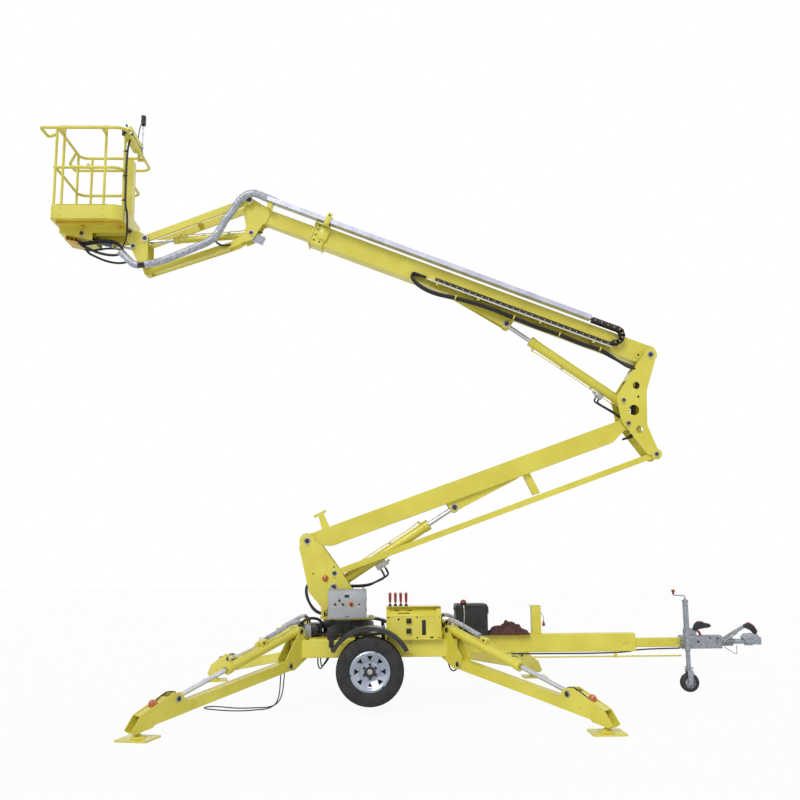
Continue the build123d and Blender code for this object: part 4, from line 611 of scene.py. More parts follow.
cylinderTable = (
    ("riser_cylinder", "riser_barrel", riserJackFoot, riserEye, 1.237, 0.055, -1),
    ("boom_cylinder", "boom_barrel", boomJackFoot, boomEye, 1.24, 0.054, -1),
    ("jib_cylinder", "jib_barrel", inPlane(jibLinkPin), headPin, 0.9, 0.038, 1),
)
for name, body, foot, eye, length, radius, lineSide in cylinderTable:
    origin, along, below = cylinderFrame(foot, eye)
    dressCylinder(name, body, origin, along, (0, 1, 0), length, radius, lineSide)
print("cylinders done")


chain = {"pitch": 0.076, "height": 0.04, "plateHeight": 0.052, "near": -0.1795, "far": -0.0905, "plate": 0.006,
         "dot": 0.0078, "start": 0.5, "lowerLinks": 28, "arcLinks": 5, "bend": 0.452,
         "upper": (0.492, 0.568, 0.644, 0.72)}
chainFloor = -0.084  # of the track, above the boom's pin line
loopBottom = chainFloor + chain["height"] + 0.005
loopTop = 0.125 + chain["height"]
loopMiddle = (loopTop + loopBottom) / 2
loopRadius = (loopTop - loopBottom) / 2 - chain["height"] / 2


def addLink(black, dots, along, up, turn):  # link of the chain: two side plates, two bars and a rivet
    for y in (chain["near"] + chain["plate"] / 2, chain["far"] - chain["plate"] / 2):
        centre = onBoom(along, up, y)
        swing = turnY(-layout["boomAngle"] - math.degrees(turn))
        addBlock(black, centre, (chain["pitch"] * 1.02, chain["plate"], chain["plateHeight"]), 0.004, swing)
    for step in (-0.25, 0.25):
        shift = chain["pitch"] * step
        for rise in (-1, 1):
            reach = rise * (chain["height"] / 2 - 0.004)
            centre = onBoom(along + shift * math.cos(turn) + reach * math.sin(turn),
                            up - shift * math.sin(turn) + reach * math.cos(turn), (chain["near"] + chain["far"]) / 2)
            addBlock(black, centre, (0.018, chain["far"] - chain["near"] - 0.004, 0.005), 0.0015, swing)
    addDisc(dots, onBoom(along, up, chain["near"] + 0.0005), (0, -1, 0), chain["dot"], 0.002, sides=16, edge=0.0006)


black, dots = bmesh.new(), bmesh.new()
lowerMiddle = chainFloor + chain["height"] / 2 + 0.001
for number in range(chain["lowerLinks"]):
    addLink(black, dots, chain["start"] + number * chain["pitch"], lowerMiddle, 0)
makePiece("chain_lower_links", black, "boom_outer", "black_plastic")
makePiece("chain_lower_rivets", dots, "boom_outer", "golden_yellow_and_painted_shade")

black, dots = bmesh.new(), bmesh.new()
for number in range(chain["arcLinks"]):
    angle = math.pi * (number + 0.5) / chain["arcLinks"]
    addLink(black, dots, chain["bend"] - loopRadius * math.sin(angle), loopMiddle - loopRadius * math.cos(angle),
            angle)
for along in chain["upper"]:
    addLink(black, dots, along, loopMiddle + loopRadius, 0)
loopPiece = makePiece("chain_loop_links", black, "chain_loop", "black_plastic")
makePiece("chain_loop_rivets", dots, "chain_loop", "golden_yellow_and_painted_shade")
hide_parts("chain_loop")

bm = bmesh.new()
boomTurn = turnY(-layout["boomAngle"])
addBlock(bm, onBoom(1.566, chainFloor - 0.004, -0.1885), (2.228, 0.003, 0.016), 0.0008, boomTurn)
makePiece("track_edge_strip", bm, "boom_outer", "pale_plate")
bm = bmesh.new()
for along in (0.66, 1.3, 2.05, 2.55):
    addBlock(bm, onBoom(along, chainFloor - 0.03, -0.15), (0.03, 0.06, 0.005), 0.001, boomTurn)
    for y in (-0.18, -0.122):
        addBlock(bm, onBoom(along, chainFloor - 0.018, y), (0.03, 0.005, 0.028), 0.001, boomTurn)
addBlock(bm, onBoom(1.566, chainFloor - 0.046, -0.096), (2.2, 0.012, 0.02), 0.002, boomTurn)
makePiece("track_ledge", bm, "boom_outer", "yellow_paint")
print("chain done")


boomHoses = {"radius": 0.012, "y": (-0.105, -0.122, -0.139, -0.156, -0.17)}
for number, y in enumerate(boomHoses["y"]):
    drop = -0.15 - 0.012 * (number % 2)
    points = [onBoom(-0.02 + 0.03 * number, -0.16 - 0.012 * number, y + 0.05),
              onBoom(0.18, -0.205 - 0.014 * number, y),
              onBoom(0.42, drop - 0.025, y), onBoom(0.56, drop, y), onBoom(0.8, drop - 0.014, y),
              onBoom(1.05, drop, y), onBoom(1.3, drop - 0.01, y), onBoom(1.6, drop, y),
              onBoom(1.95, drop + 0.012, y), onBoom(2.3, drop - 0.02, y), onBoom(2.56, drop - 0.06, y),
              onBoom(2.76, drop - 0.03, y), onBoom(2.87, drop + 0.04, y), onBoom(2.85, drop + 0.095, y),
              onBoom(2.7, lowerMiddle + 0.01 - 0.006 * number, y * 0.5 - 0.07)]
    makeHose(f"boom_hose_{number}", points, boomHoses["radius"], "boom_outer")

bm = bmesh.new()
for along, up in ((0.56, -0.152), (1.05, -0.152), (1.6, -0.152), (2.3, -0.172)):
    for rise in (0.02, -0.02):
        addBlock(bm, onBoom(along, up + rise, -0.137), (0.016, 0.1, 0.004), 0.0015, boomTurn)
    for y in (-0.089, -0.185):
        addBlock(bm, onBoom(along, up, y), (0.016, 0.004, 0.044), 0.0015, boomTurn)
makePiece("boom_hose_clips", bm, "boom_outer", "yellow_paint")
print("boom hoses done")


def routeLine(points):  # points along the smooth line of a route
    holder = makeRoute("route", points, 7)
    mesh = bpy.data.meshes.new_from_object(holder)
    line = [Vector(v.co) for v in mesh.vertices]
    bpy.data.objects.remove(holder)
    bpy.data.meshes.remove(mesh)
    return line


def evenLine(line, step):  # the same line with points a step apart
    spots, left = [line[0]], step
    for first, second in zip(line, line[1:]):
        run = (second - first).length
        gone = 0.0
        while run - gone >= left:
            gone += left
            spots.append(first.lerp(second, gone / run))
            left = step
        left -= run - gone
    spots.append(line[-1])
    return spots


def addSleeve(bm, line, radius, sides=18, lumps=0.06, ridge=0.05, turns=38.0, seed=1):  # closed tube along a line
    wobble = random.Random(seed)
    phases = [(wobble.uniform(0, 6.28), wobble.uniform(2.0, 5.0), wobble.choice((1, 2, 3))) for _ in range(4)]
    rings, normal, gone = [], Vector((0, 1, 0.01)), 0.0
    for number, spot in enumerate(line):
        ahead = line[min(number + 1, len(line) - 1)] - line[max(number - 1, 0)]
        along = ahead.normalized()
        normal = (normal - along * normal.dot(along)).normalized()
        side = along.cross(normal)
        gone += (spot - line[max(number - 1, 0)]).length
        ring = []
        for step in range(sides):
            turn = math.tau * step / sides
            lump = sum(math.sin(p + gone * f * 6 + k * turn) for p, f, k in phases) / 4
            wind = abs(math.sin(gone * turns + turn * 0.5))
            reach = radius * (1 + lumps * lump - ridge * wind ** 6)
            ring.append(bm.verts.new(spot + (normal * math.cos(turn) + side * math.sin(turn)) * reach))
        rings.append(ring)
    for first, second in zip(rings, rings[1:]):
        for step in range(sides):
            following = (step + 1) % sides
            bm.faces.new((first[step], first[following], second[following], second[step]))
    for ring in (rings[0], rings[-1]):
        bm.faces.new(ring)


def makeBundle(name, points, radius, body, surface, seed=1, bend=None, **skin):  # bend: two bodies and two places, of which only its being given is read: then no edges are marked sharp and the transform is baked
    bm = bmesh.new()
    addSleeve(bm, evenLine(routeLine(points), 0.012), radius, seed=seed, **skin)
    obj = makePiece(name, bm, body, surface, sharp=0 if bend else 60)
    if bend:
        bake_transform(obj)


turntable = {"bolts": 20, "circle": 0.275, "z": 0.905}
turretSide = 0.14
bm = bmesh.new()
addLathe(bm, (-0.793, -turretSide, 1.318), (0, -1, 0),
         [(0, pole), (0, 0.033), (0.004, 0.034), (0.008, 0.032), (0.012, 0.029), (0.02, 0.026), (0.025, 0.018),
          (0.027, pole)], 28)
makePiece("turret_lamp", bm, "turret", "orange_lens")
bm = bmesh.new()
for number in range(turntable["bolts"]):
    turn = math.tau * (number + 0.5) / turntable["bolts"]
    addBolt(bm, (layout["slewX"] + turntable["circle"] * math.cos(turn), turntable["circle"] * math.sin(turn),
                 turntable["z"]), (0, 0, 1), 0.009)
makePiece("turntable_bolts", bm, "turret", "zinc_bolt")
bm = bmesh.new()
for x, z in ((-0.925, 1.37), (-0.56, 0.96), (-0.7, 1.44)):
    for side in (-1, 1):
        addDisc(bm, (x, side * turretSide, z), (0, side, 0), 0.008, 0.003, sides=14, edge=0.0006)
makePiece("turret_plugs", bm, "turret", "black_plastic")

for number, (y, lift) in enumerate(((-0.06, 0.0), (-0.02, 0.012), (0.022, 0.004), (0.062, 0.016))):
    points = [(-0.958 + lift, y, 1.268), (-0.985 - lift, y, 1.258), (-1.004 - lift, y * 0.9, 1.2),
              (-0.992 - lift, y * 1.1, 1.11), (-0.955, y, 1.02), (-0.905, y * 1.4, 0.965), (-0.85, y * 1.5, 0.94),
              (-0.812, y * 1.4, 0.935)]
    makeHose(f"turret_hose_{number}", points, 0.011, "turret")

control = {"left": -0.748, "right": -0.346, "low": 0.907, "high": 1.205, "face": -0.44}
middleX = (control["left"] + control["right"]) / 2
middleZ = (control["low"] + control["high"]) / 2
bm = bmesh.new()
addBlock(bm, (middleX, control["face"] - 0.002, middleZ), (0.386, 0.008, 0.282), 0.0025)
addBlock(bm, (middleX, control["face"] + 0.01, control["high"] + 0.002), (0.402, 0.03, 0.004), 0.0012)
for z in (1.0, 1.12):
    addDisc(bm, (control["right"] + 0.001, control["face"] + 0.008, z - 0.022), (0, 0, 1), 0.006, 0.044, sides=14)
makePiece("control_box_door", bm, "turret", "grey_paint")
bm = bmesh.new()
for x in (control["left"] + 0.035, control["right"] - 0.035):
    for z, rise in ((control["high"] + 0.006, 1), (control["low"] - 0.004, -1)):
        addBlock(bm, (x, -0.168, z), (0.03, 0.026, 0.016), 0.003)
        addBolt(bm, (x, -0.181, z + rise * 0.001), (0, -1, 0), 0.005)
for x in (control["left"] + 0.02, control["right"] - 0.02):
    for z in (control["low"] + 0.02, control["high"] - 0.02):
        addDisc(bm, (x, control["face"] - 0.006, z), (0, -1, 0), 0.005, 0.002, sides=14, edge=0.0005)
makePiece("control_box_screws", bm, "turret", "zinc_bolt")
bm = bmesh.new()
addBlock(bm, (-0.55, control["face"] - 0.009, 1.14), (0.048, 0.006, 0.026), 0.001)
addBlock(bm, (middleX, control["face"] - 0.004, 0.93), (0.04, 0.008, 0.006), 0.001)
selectors = ((-0.628, 1.099, 0), (-0.674, 1.059, 22), (-0.59, 1.058, -18))
for x, z, turn in selectors:
    addDisc(bm, (x, control["face"] - 0.011, z), (0, -1, 0), 0.0105, 0.01, sides=20)
    addBlock(bm, (x, control["face"] - 0.026, z), (0.008, 0.012, 0.026), 0.002, turnY(turn))
for z in (0.935, 0.96, 0.985, 1.01):
    addDisc(bm, (control["left"] + 0.004, -0.3, z), (-1, 0, 0), 0.01, 0.016, sides=16)
makePiece("control_box_selectors", bm, "turret", "black_plastic")
bm = bmesh.new()
for x, z, turn in (*selectors, (-0.505, 1.058, 0), (-0.421, 1.057, 0)):
    addWasher(bm, (x, control["face"] - 0.006, z), (0, -1, 0), 0.0105, 0.0155, 0.005)
makePiece("control_box_bezels", bm, "turret", "zinc_bolt")
bm = bmesh.new()
addWasher(bm, (-0.505, control["face"] - 0.006, 1.058), (0, -1, 0), 0.016, 0.0285, 0.002)
makePiece("stop_button_ring", bm, "turret", "golden_yellow_and_painted_shade")
bm = bmesh.new()
addLathe(bm, (-0.505, control["face"] - 0.006, 1.058), (0, -1, 0),
         [(0, pole), (0, 0.01), (0.014, 0.01), (0.016, 0.0185), (0.021, 0.0195), (0.026, 0.017), (0.029, 0.009),
          (0.0295, pole)], 24)
addLathe(bm, (-0.421, control["face"] - 0.006, 1.057), (0, -1, 0),
         [(0, pole), (0, 0.0105), (0.007, 0.0105), (0.011, 0.009), (0.012, pole)], 20)
makePiece("control_box_buttons", bm, "turret", "red_grip")
bm = bmesh.new()
for x, z, width in ((-0.65, 1.028, 0.12), (-0.505, 1.018, 0.05), (-0.421, 1.03, 0.034), (-0.55, 1.166, 0.06)):
    addBlock(bm, (x, control["face"] - 0.007, z), (width, 0.0012, 0.012), 0.0004)
makePiece("control_box_plates", bm, "turret", "pale_plate")
for number, z in enumerate((0.935, 0.96, 0.985)):
    points = [(control["left"] - 0.012, -0.3, z), (control["left"] - 0.04, -0.3, z),
              (control["left"] - 0.052, -0.27, z - 0.02), (-0.79, -0.16, 0.95 - 0.008 * number),
              (-0.77, -0.1, 0.93)]
    makeHose(f"control_lead_{number}", points, 0.0055, "turret")
print("turret done")


foot, along, below = cylinderFrame(riserJackFoot, riserEye)
bm = bmesh.new()
valveSpot = foot + along * 0.56 + below * 0.088
addBlock(bm, valveSpot, (0.062, 0.062, 0.13), 0.004, facing(along))
addBlock(bm, valveSpot + along * 0.07 + below * 0.01, (0.034, 0.04, 0.024), 0.003, facing(along))
for step in (-0.03, 0.02):
    addDisc(bm, valveSpot + along * step + below * 0.03, below, 0.012, 0.018, sides=6, edge=0.001)
addDisc(bm, valveSpot + along * 0.08, along, 0.014, 0.026, sides=6, edge=0.001)
makePiece("riser_cylinder_valve", bm, "riser_barrel", "zinc_bolt")
for number, (y, step) in enumerate(((-0.016, -0.03), (0.016, 0.02))):
    start = valveSpot + along * step + below * 0.045
    start.y = y
    points = [start, start + below * 0.05, start + below * 0.085 + Vector((-0.01, 0, -0.012)),
              (-0.215 - 0.01 * number, y, 1.285), (-0.32, y, 1.245 - 0.012 * number),
              (-0.44, y * 2, 1.236 - 0.014 * number), (-0.545, y * 3, 1.24 - 0.014 * number), (-0.64, y * 3, 1.18)]
    makeBundle(f"riser_cylinder_hose_{number}", points, 0.0115, None, "hose_rubber", seed=3 + number,
               lumps=0, ridge=0, sides=14, bend=("turret", "riser_barrel", (-0.62, 0, 1.2), (-0.24, 0, 1.3)))

foot, along, below = cylinderFrame(boomJackFoot, boomEye)
bm = bmesh.new()
valveSpot = foot + along * 0.245 + below * 0.082
addBlock(bm, valveSpot, (0.058, 0.056, 0.09), 0.004, facing(along))
addDisc(bm, valveSpot + along * 0.045, along, 0.016, 0.03, sides=20)
addDisc(bm, valveSpot + along * 0.074, along, 0.011, 0.014, sides=6, edge=0.001)
for step, y in ((-0.02, -0.016), (0.016, 0.016)):
    addDisc(bm, valveSpot + along * step + below * 0.026 + Vector((0, y, 0)), below, 0.01, 0.016, sides=6, edge=0.001)
makePiece("boom_cylinder_valve", bm, "boom_barrel", "zinc_bolt")
for number, (step, y) in enumerate(((-0.02, -0.016), (0.016, 0.016))):
    start = valveSpot + along * step + below * 0.04
    start.y = y
    points = [start, start + below * 0.03, start + below * 0.048 + Vector((0.02, 0, -0.012)),
              (2.48, y * 1.4, 3.135), (2.54, y * 1.6, 3.085), (2.59, y * 2, 3.105), (2.64, y * 2.2, 3.16)]
    makeBundle(f"boom_cylinder_hose_{number}", points, 0.01, None, "hose_rubber", seed=5 + number,
               lumps=0, ridge=0, sides=14, bend=("knuckle", "boom_barrel", (2.56, 0, 3.1), (2.42, 0, 3.2)))
for number, y in enumerate((-0.06, -0.02, 0.025, 0.065)):
    points = [(2.6 - 0.01 * number, y, 2.84), (2.66, y, 2.85 + 0.006 * number), (2.7, y, 2.93),
              (2.69, y, 3.1), (2.7, y, 3.26), (2.74, y, 3.42), (2.79, y, 3.56), (2.82, y * 0.8, 3.64)]
    makeHose(f"knuckle_hose_{number}", points, 0.012, "knuckle")
bm = bmesh.new()
for x, z in ((2.746, 3.782), (2.722, 3.302)):
    for side in (-1, 1):
        addDisc(bm, (x, side * 0.137, z), (0, side, 0), 0.013, 0.003, sides=18, edge=0.0008)
makePiece("knuckle_plugs", bm, "knuckle", "black_plastic")
print("knuckle done")


bm = bmesh.new()
for along in (3.958, 4.112):
    for y in (-0.104, 0.104):
        addBlock(bm, onBoom(along, -0.0125, y), (0.014, 0.012, 0.29), 0.002, boomTurn)
    for up in (0.126, -0.151):
        addBlock(bm, onBoom(along, up, 0), (0.014, 0.216, 0.016), 0.002, boomTurn)
for side in (-1, 1):
    addBlock(bm, onBoom(3.985, 0.01, side * 0.107 - 0.004), (0.11, 0.01, 0.15), 0.003, boomTurn)
for y in (-0.222, -0.088):
    addBlock(bm, onBoom(3.985, 0.16, y), (0.06, 0.008, 0.15), 0.003, boomTurn)
addBlock(bm, onBoom(3.985, 0.098, -0.155), (0.06, 0.142, 0.01), 0.002, boomTurn)
makePiece("boom_collar_frames", bm, "boom_outer", "yellow_paint")
bm = bmesh.new()
for along in (4.0, 4.07):
    for up in (-0.095, -0.03, 0.04, 0.09):
        for side in (-1, 1):
            addBolt(bm, onBoom(along, up, side * 0.102), (0, side, 0), 0.007)
addDisc(bm, onBoom(3.985, 0.205, -0.226), (0, -1, 0), 0.012, 0.006, sides=6, edge=0.0008)
makePiece("boom_collar_bolts", bm, "boom_outer", "black_paint")
bm = bmesh.new()
addDisc(bm, onBoom(3.985, 0.112, -0.216), (0, 1, 0), 0.01, 0.122, sides=20)
makePiece("tray_roller", bm, "boom_outer", "black_plastic")

bm = bmesh.new()
addBlock(bm, onBoom(4.7, -0.3, -0.02), (0.165, 0.09, 0.075), 0.008, boomTurn)
addBlock(bm, onBoom(4.7, -0.262, -0.02), (0.175, 0.1, 0.008), 0.002, boomTurn)
makePiece("tip_switch_box", bm, "boom_inner", "film_wrap")
bm = bmesh.new()
for y, up in ((-0.07, -0.235), (-0.06, -0.222), (-0.052, -0.21)):
    addDisc(bm, onBoom(4.64 - (up + 0.2) * 2, up, y), (-1, 0, 0.2), 0.008, 0.1, sides=14)
makePiece("tip_switch_plugs", bm, "boom_inner", "hose_rubber")
for number, y in enumerate((-0.095, -0.11)):
    points = [(-2.1, y, 5.18), (-2.06, y, 5.13 - 0.01 * number), (-2.0, y, 5.098 - 0.012 * number),
              (-1.95, y + 0.01, 5.096), (-1.905, y + 0.04, 5.12)]
    makeHose(f"tip_lead_{number}", points, 0.009, "boom_inner")
bm = bmesh.new()
for along in range(12):
    spot = onBoom(0.86 + along * 0.34, 0.125 + 0.052, -0.155)
    addBlock(bm, spot, (0.026, 0.112, 0.004), 0.001, boomTurn)
makePiece("tray_straps", bm, "boom_inner", "tray_aluminium")
for number, y in enumerate((-0.19, -0.172, -0.155, -0.138, -0.12)):
    makeHose(f"tray_hose_{number}", [onBoom(0.76, 0.148, y), onBoom(1.9, 0.143, y), onBoom(3.2, 0.145, y),
                                     onBoom(4.3, 0.144, y), onBoom(4.72, 0.15, y)], 0.008, "boom_inner")
print("telescope done")


bundle = {"radius": 0.046, "y": -0.165}
y = bundle["y"]
makeBundle("bundle_over_tip", [onBoom(4.64, 0.156, -0.155), (-1.59, y, 5.7), (-1.69, y, 5.7), (-1.775, y, 5.645),
                               (-1.835, y, 5.56), (-1.885, y, 5.47), (-1.955, y, 5.385), (-2.0, y, 5.3),
                               (-2.04, y, 5.21), (-2.11, y, 5.14)],
           bundle["radius"], None, "film_wrap", seed=11,
           bend=("boom_inner", "jib_upper_arm", (-1.7, y, 5.6), (-2.08, y, 5.2)))
makeBundle("bundle_along_jib", [(-2.1, y, 5.15), (-2.18, y, 5.096), (-2.28, y, 5.056), (-2.465, y, 4.972),
                                (-2.625, y, 4.905), (-2.72, y, 4.872)],
           bundle["radius"] * 0.96, "jib_upper_arm", "film_wrap", seed=12)
makeBundle("bundle_at_head", [(-2.7, y, 4.88), (-2.79, y - 0.02, 4.852), (-2.855, y - 0.03, 4.836)],
           bundle["radius"] * 0.93, None, "film_wrap", seed=13,
           bend=("jib_upper_arm", "jib_head", (-2.71, y, 4.88), (-2.85, y, 4.836)))
for number, (dy, dz) in enumerate(((-0.018, 0.012), (0.018, 0.012), (-0.018, -0.014), (0.018, -0.014), (0, 0))):
    makeHose(f"bundle_bare_{number}", [(-2.83, y - 0.03 + dy, 4.842 + dz), (-2.89, y - 0.03 + dy, 4.828 + dz),
                                      (-2.945, y - 0.02 + dy, 4.836 + dz)], 0.013, "jib_head")
makeBundle("bundle_to_basket", [(-2.92, y - 0.02, 4.832), (-2.985, y - 0.01, 4.848), (-3.04, y, 4.9),
                                (-3.09, y + 0.01, 4.955), (-3.15, y + 0.02, 5.0)],
           bundle["radius"] * 0.9, None, "film_wrap", seed=14,
           bend=("jib_head", "basket", (-2.95, y, 4.84), (-3.13, y, 4.98)))
print("bundle done")


hydraulic = {"face": -0.585, "left": -0.136, "right": 0.432, "high": 1.03, "firstLever": 0.21, "leverGap": 0.056,
             "levers": 4, "leverY": 0.13, "gripLow": 1.07}
face = hydraulic["face"]
boxMiddle = (hydraulic["left"] + hydraulic["right"]) / 2
bm = bmesh.new()
for z in (0.89, 0.79):
    addBlock(bm, (0.094, face - 0.024, z), (0.052, 0.01, 0.052), 0.004)
    addDisc(bm, (0.094, face - 0.028, z), (0, -1, 0), 0.017, 0.01, sides=24, edge=0.002)
addBlock(bm, (0.25, face - 0.003, 0.822), (0.04, 0.008, 0.15), 0.003)
addBlock(bm, (0.33, face - 0.002, 0.722), (0.034, 0.006, 0.014), 0.002)
addDisc(bm, (-0.01, face, 0.905), (0, -1, 0), 0.011, 0.003, sides=18, edge=0.0006)
# thin black sheets on the sloped top edge stand for its slots: the dark of the openings is painted shade
slope = Matrix.Rotation(math.radians(-41.6), 4, "X")
for x, z, width in ((-0.03, 0.992, 0.052), (0.105, 0.992, 0.052), (0.045, 0.965, 0.12)):
    addBlock(bm, (x, -0.585 + (z - 0.94) / 0.09 * 0.08 - 0.001, z + 0.001), (width, 0.003, 0.009), 0.001, slope)
makePiece("hydraulic_box_fittings_and_slot_shade", bm, "chassis", "black_plastic")
bm = bmesh.new()
addBlock(bm, (0.25, face - 0.008, 0.832), (0.014, 0.006, 0.108), 0.002)
addDisc(bm, (0.25, face - 0.008, 0.764), (0, -1, 0), 0.011, 0.007, sides=20)
for z in (0.764, 0.89):
    addDisc(bm, (0.25, face - 0.006, z), (0, -1, 0), 0.008, 0.006, sides=6, edge=0.0006)
for x in (hydraulic["left"] + 0.022, 0.18, hydraulic["right"] - 0.022):
    for z in (0.72, 0.925):
        addBolt(bm, (x, face, z), (0, -1, 0), 0.006)
makePiece("hydraulic_gauge", bm, "chassis", "black_plastic")
bm = bmesh.new()
leverX = [layout["axle"] + hydraulic["firstLever"] + hydraulic["leverGap"] * lever
          for lever in range(hydraulic["levers"])]
leverY = face + hydraulic["leverY"]
for x in leverX:
    addLathe(bm, (x, leverY, hydraulic["gripLow"]), (0, 0, 1),
             [(0, 0.0065), (0, 0.0105), (0.006, 0.0125), (0.05, 0.015), (0.092, 0.0162), (0.1, 0.014),
              (0.104, 0.006), (0.1045, pole)], 20)
makePiece("lever_grips", bm, "chassis", "red_grip")
bm = bmesh.new()
for x in leverX:
    addLathe(bm, (x, leverY, hydraulic["high"]), (0, 0, 1),
             [(0, 0.022), (0.004, 0.022), (0.008, 0.018), (0.012, 0.019), (0.017, 0.014), (0.021, 0.015),
              (0.027, 0.009), (0.034, 0.0068)], 20)
makePiece("lever_gaiters", bm, "chassis", "hose_rubber")
bm = bmesh.new()
addBlock(bm, (boxMiddle, -0.4575, hydraulic["high"] + 0.0015), (0.56, 0.248, 0.004), 0.0015)
addBlock(bm, (boxMiddle, face - 0.001, 0.935), (0.56, 0.004, 0.006), 0.001)
addBlock(bm, (boxMiddle, face + 0.004, 0.702), (0.572, 0.016, 0.006), 0.002)
addBlock(bm, (0.404, face + 0.02, 0.86), (0.05, 0.05, 0.3), 0.003)
makePiece("hydraulic_box_trim", bm, "chassis", "yellow_paint")

pack = {"left": 0.619, "right": 0.962, "slats": 9, "slatGap": 0.03, "lamp": (0.7, -0.155)}
packMiddle = (pack["left"] + pack["right"]) / 2
bm = bmesh.new()
addBlock(bm, (packMiddle, 0, 1.0), (0.352, 0.35, 0.01), 0.004)
for number in range(pack["slats"]):
    for y in (-0.1715, 0.1715):
        addBlock(bm, (packMiddle + pack["slatGap"] * (number - 4), y, 0.85), (0.012, 0.006, 0.15), 0.002)
for y in (-0.1, 0.1):
    addBlock(bm, (0.97, y, 0.96), (0.012, 0.034, 0.07), 0.003)
    addBlock(bm, (0.615, y, 0.975), (0.01, 0.04, 0.03), 0.003)
makePiece("power_pack_lid", bm, "chassis", "black_plastic")
bm = bmesh.new()
for x in (packMiddle - 0.13, packMiddle + 0.13):
    for y in (-0.172, 0.172):
        addBolt(bm, (x, y, 0.745), (0, y, 0), 0.007)
        addBlock(bm, (x, y * 1.005, 1.0), (0.03, 0.006, 0.044), 0.002)
addLathe(bm, (*pack["lamp"], 1.026), (0, 0, 1),
         [(0, pole), (0, 0.02), (0.006, 0.03), (0.016, 0.033), (0.02, 0.034), (0.022, 0.031)], 28)
makePiece("power_pack_metal", bm, "chassis", "black_paint")
bm = bmesh.new()
addLathe(bm, (*pack["lamp"], 1.046), (0, 0, 1),
         [(0, 0.033), (0.008, 0.0335), (0.018, 0.03), (0.028, 0.022), (0.034, 0.01), (0.035, pole)], 28)
makePiece("power_pack_lamp", bm, "chassis", "red_grip")
makeHose("lamp_lead", [(0.7, -0.16, 1.03), (0.702, -0.184, 1.0), (0.706, -0.186, 0.93), (0.702, -0.188, 0.86),
                       (0.69, -0.184, 0.78), (0.68, -0.16, 0.73)], 0.008, "chassis", "zinc_bolt")
print("boxes done")


cover = {"left": 0.966, "right": 1.42, "floor": 0.7025, "high": 0.134, "half": 0.148, "steps": (96, 72),
         "lap": 0.46, "cloth": 0.0016}


def coverHeight(u, v, folds):  # height of the heap over the bar at shares u along and v across
    crown = math.sin(math.pi * min(max(u, 0.0), 1.0)) ** 0.55 * math.cos(math.pi * (v - 0.5)) ** 0.75
    peak = 0.62 + 0.38 * math.exp(-((u - 0.56) / 0.17) ** 2) + 0.16 * math.exp(-((u - 0.16) / 0.08) ** 2)
    folded = 0.0
    for angle, rate, phase, size in folds:
        line = u * math.cos(angle) * 1.5 + v * math.sin(angle)
        folded += size * (1 - abs(math.sin(line * rate + phase + 1.1 * math.sin(v * 5 + phase)))) ** 1.6
    return cover["high"] * crown * (peak * 0.8 + folded)


folds = [(draw.uniform(-0.9, 0.9), draw.uniform(7, 22), draw.uniform(0, 6.28), draw.uniform(0.05, 0.17))
         for number in range(7)]
bm = bmesh.new()
columns, rows = cover["steps"]
grid = []
for i in range(columns + 1):
    u = i / columns
    column = []
    for j in range(rows + 1):
        v = j / rows
        height = coverHeight(u, v, folds)
        ragged = 1 + 0.05 * math.sin(9 * u + 2) + 0.03 * math.sin(23 * u)
        x = cover["left"] + (cover["right"] - cover["left"]) * (u + 0.008 * math.sin(8 * v))
        y = (v - 0.5) * 2 * cover["half"] * min(ragged, 1.0)
        column.append(bm.verts.new((x, y, cover["floor"] + 0.003 + max(height, 0.0))))
    grid.append(column)
for i in range(columns):
    for j in range(rows):
        bm.faces.new((grid[i][j], grid[i + 1][j], grid[i + 1][j + 1], grid[i][j + 1]))
coverPiece = makePiece("weather_cover", bm, "chassis", "cover_fabric", sharp=180)
thicker = coverPiece.modifiers.new("Thickness", "SOLIDIFY")
thicker.thickness = cover["cloth"]
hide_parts("folded_cover")
print("cover done")


bm = bmesh.new()
for x in (-1.02, -0.42, 0.12, 0.48):
    for side in (-1, 1):
        for z in (0.56, 0.66):
            addBolt(bm, (layout["frameX"] + x * 0.8, side * 0.52, z), (0, side, 0), 0.009)
makePiece("rail_bolts", bm, "chassis", "yellow_paint")
bm = bmesh.new()
addBlock(bm, (-0.7, -0.5, 0.765), (0.1, 0.055, 0.12), 0.008)
addBlock(bm, (-0.69, -0.512, 0.83), (0.06, 0.035, 0.02), 0.004)
addBlock(bm, (-0.708, -0.53, 0.67), (0.05, 0.016, 0.09), 0.005)
addBlock(bm, (-0.7, -0.528, 0.606), (0.022, 0.012, 0.05), 0.003)
makePiece("rail_valve", bm, "chassis", "black_plastic")
bm = bmesh.new()
addBlock(bm, (-0.752, -0.504, 0.752), (0.005, 0.03, 0.07), 0.001)
makePiece("rail_valve_tag", bm, "chassis", "red_grip")
bm = bmesh.new()
addBlock(bm, (-0.985, -0.26, 0.775), (0.11, 0.12, 0.125), 0.006)
addBlock(bm, (-0.985, -0.26, 0.842), (0.08, 0.09, 0.012), 0.003)
makePiece("junction_box", bm, "chassis", "grey_paint")
bm = bmesh.new()
addLathe(bm, (-0.906, -0.11, 0.78), (0, -1, 0),
         [(0, 0.05), (0.01, 0.054), (0.02, 0.054), (0.022, 0.05), (0.15, 0.05), (0.152, 0.056), (0.166, 0.056),
          (0.17, 0.05), (0.172, 0.018), (0.18, 0.016), (0.182, pole)], 32)
for number in range(8):
    turn = math.pi * number / 4
    addBlock(bm, (-0.906 + 0.053 * math.cos(turn), -0.2, 0.78 + 0.053 * math.sin(turn)), (0.006, 0.11, 0.006),
             0.001, turnY(-math.degrees(turn)))
makePiece("slew_motor", bm, "chassis", "black_paint")
for number, y in enumerate((-0.33, -0.29)):
    points = [(-1.018, y, 0.712), (-1.045, y, 0.77), (-1.048, y, 0.835), (-1.005, y, 0.892), (-0.93, y + 0.01, 0.912),
              (-0.86, y + 0.03, 0.9), (-0.82, y + 0.06, 0.86), (-0.8, y + 0.09, 0.82)]
    makeHose(f"slew_hose_{number}", points, 0.014, "chassis")
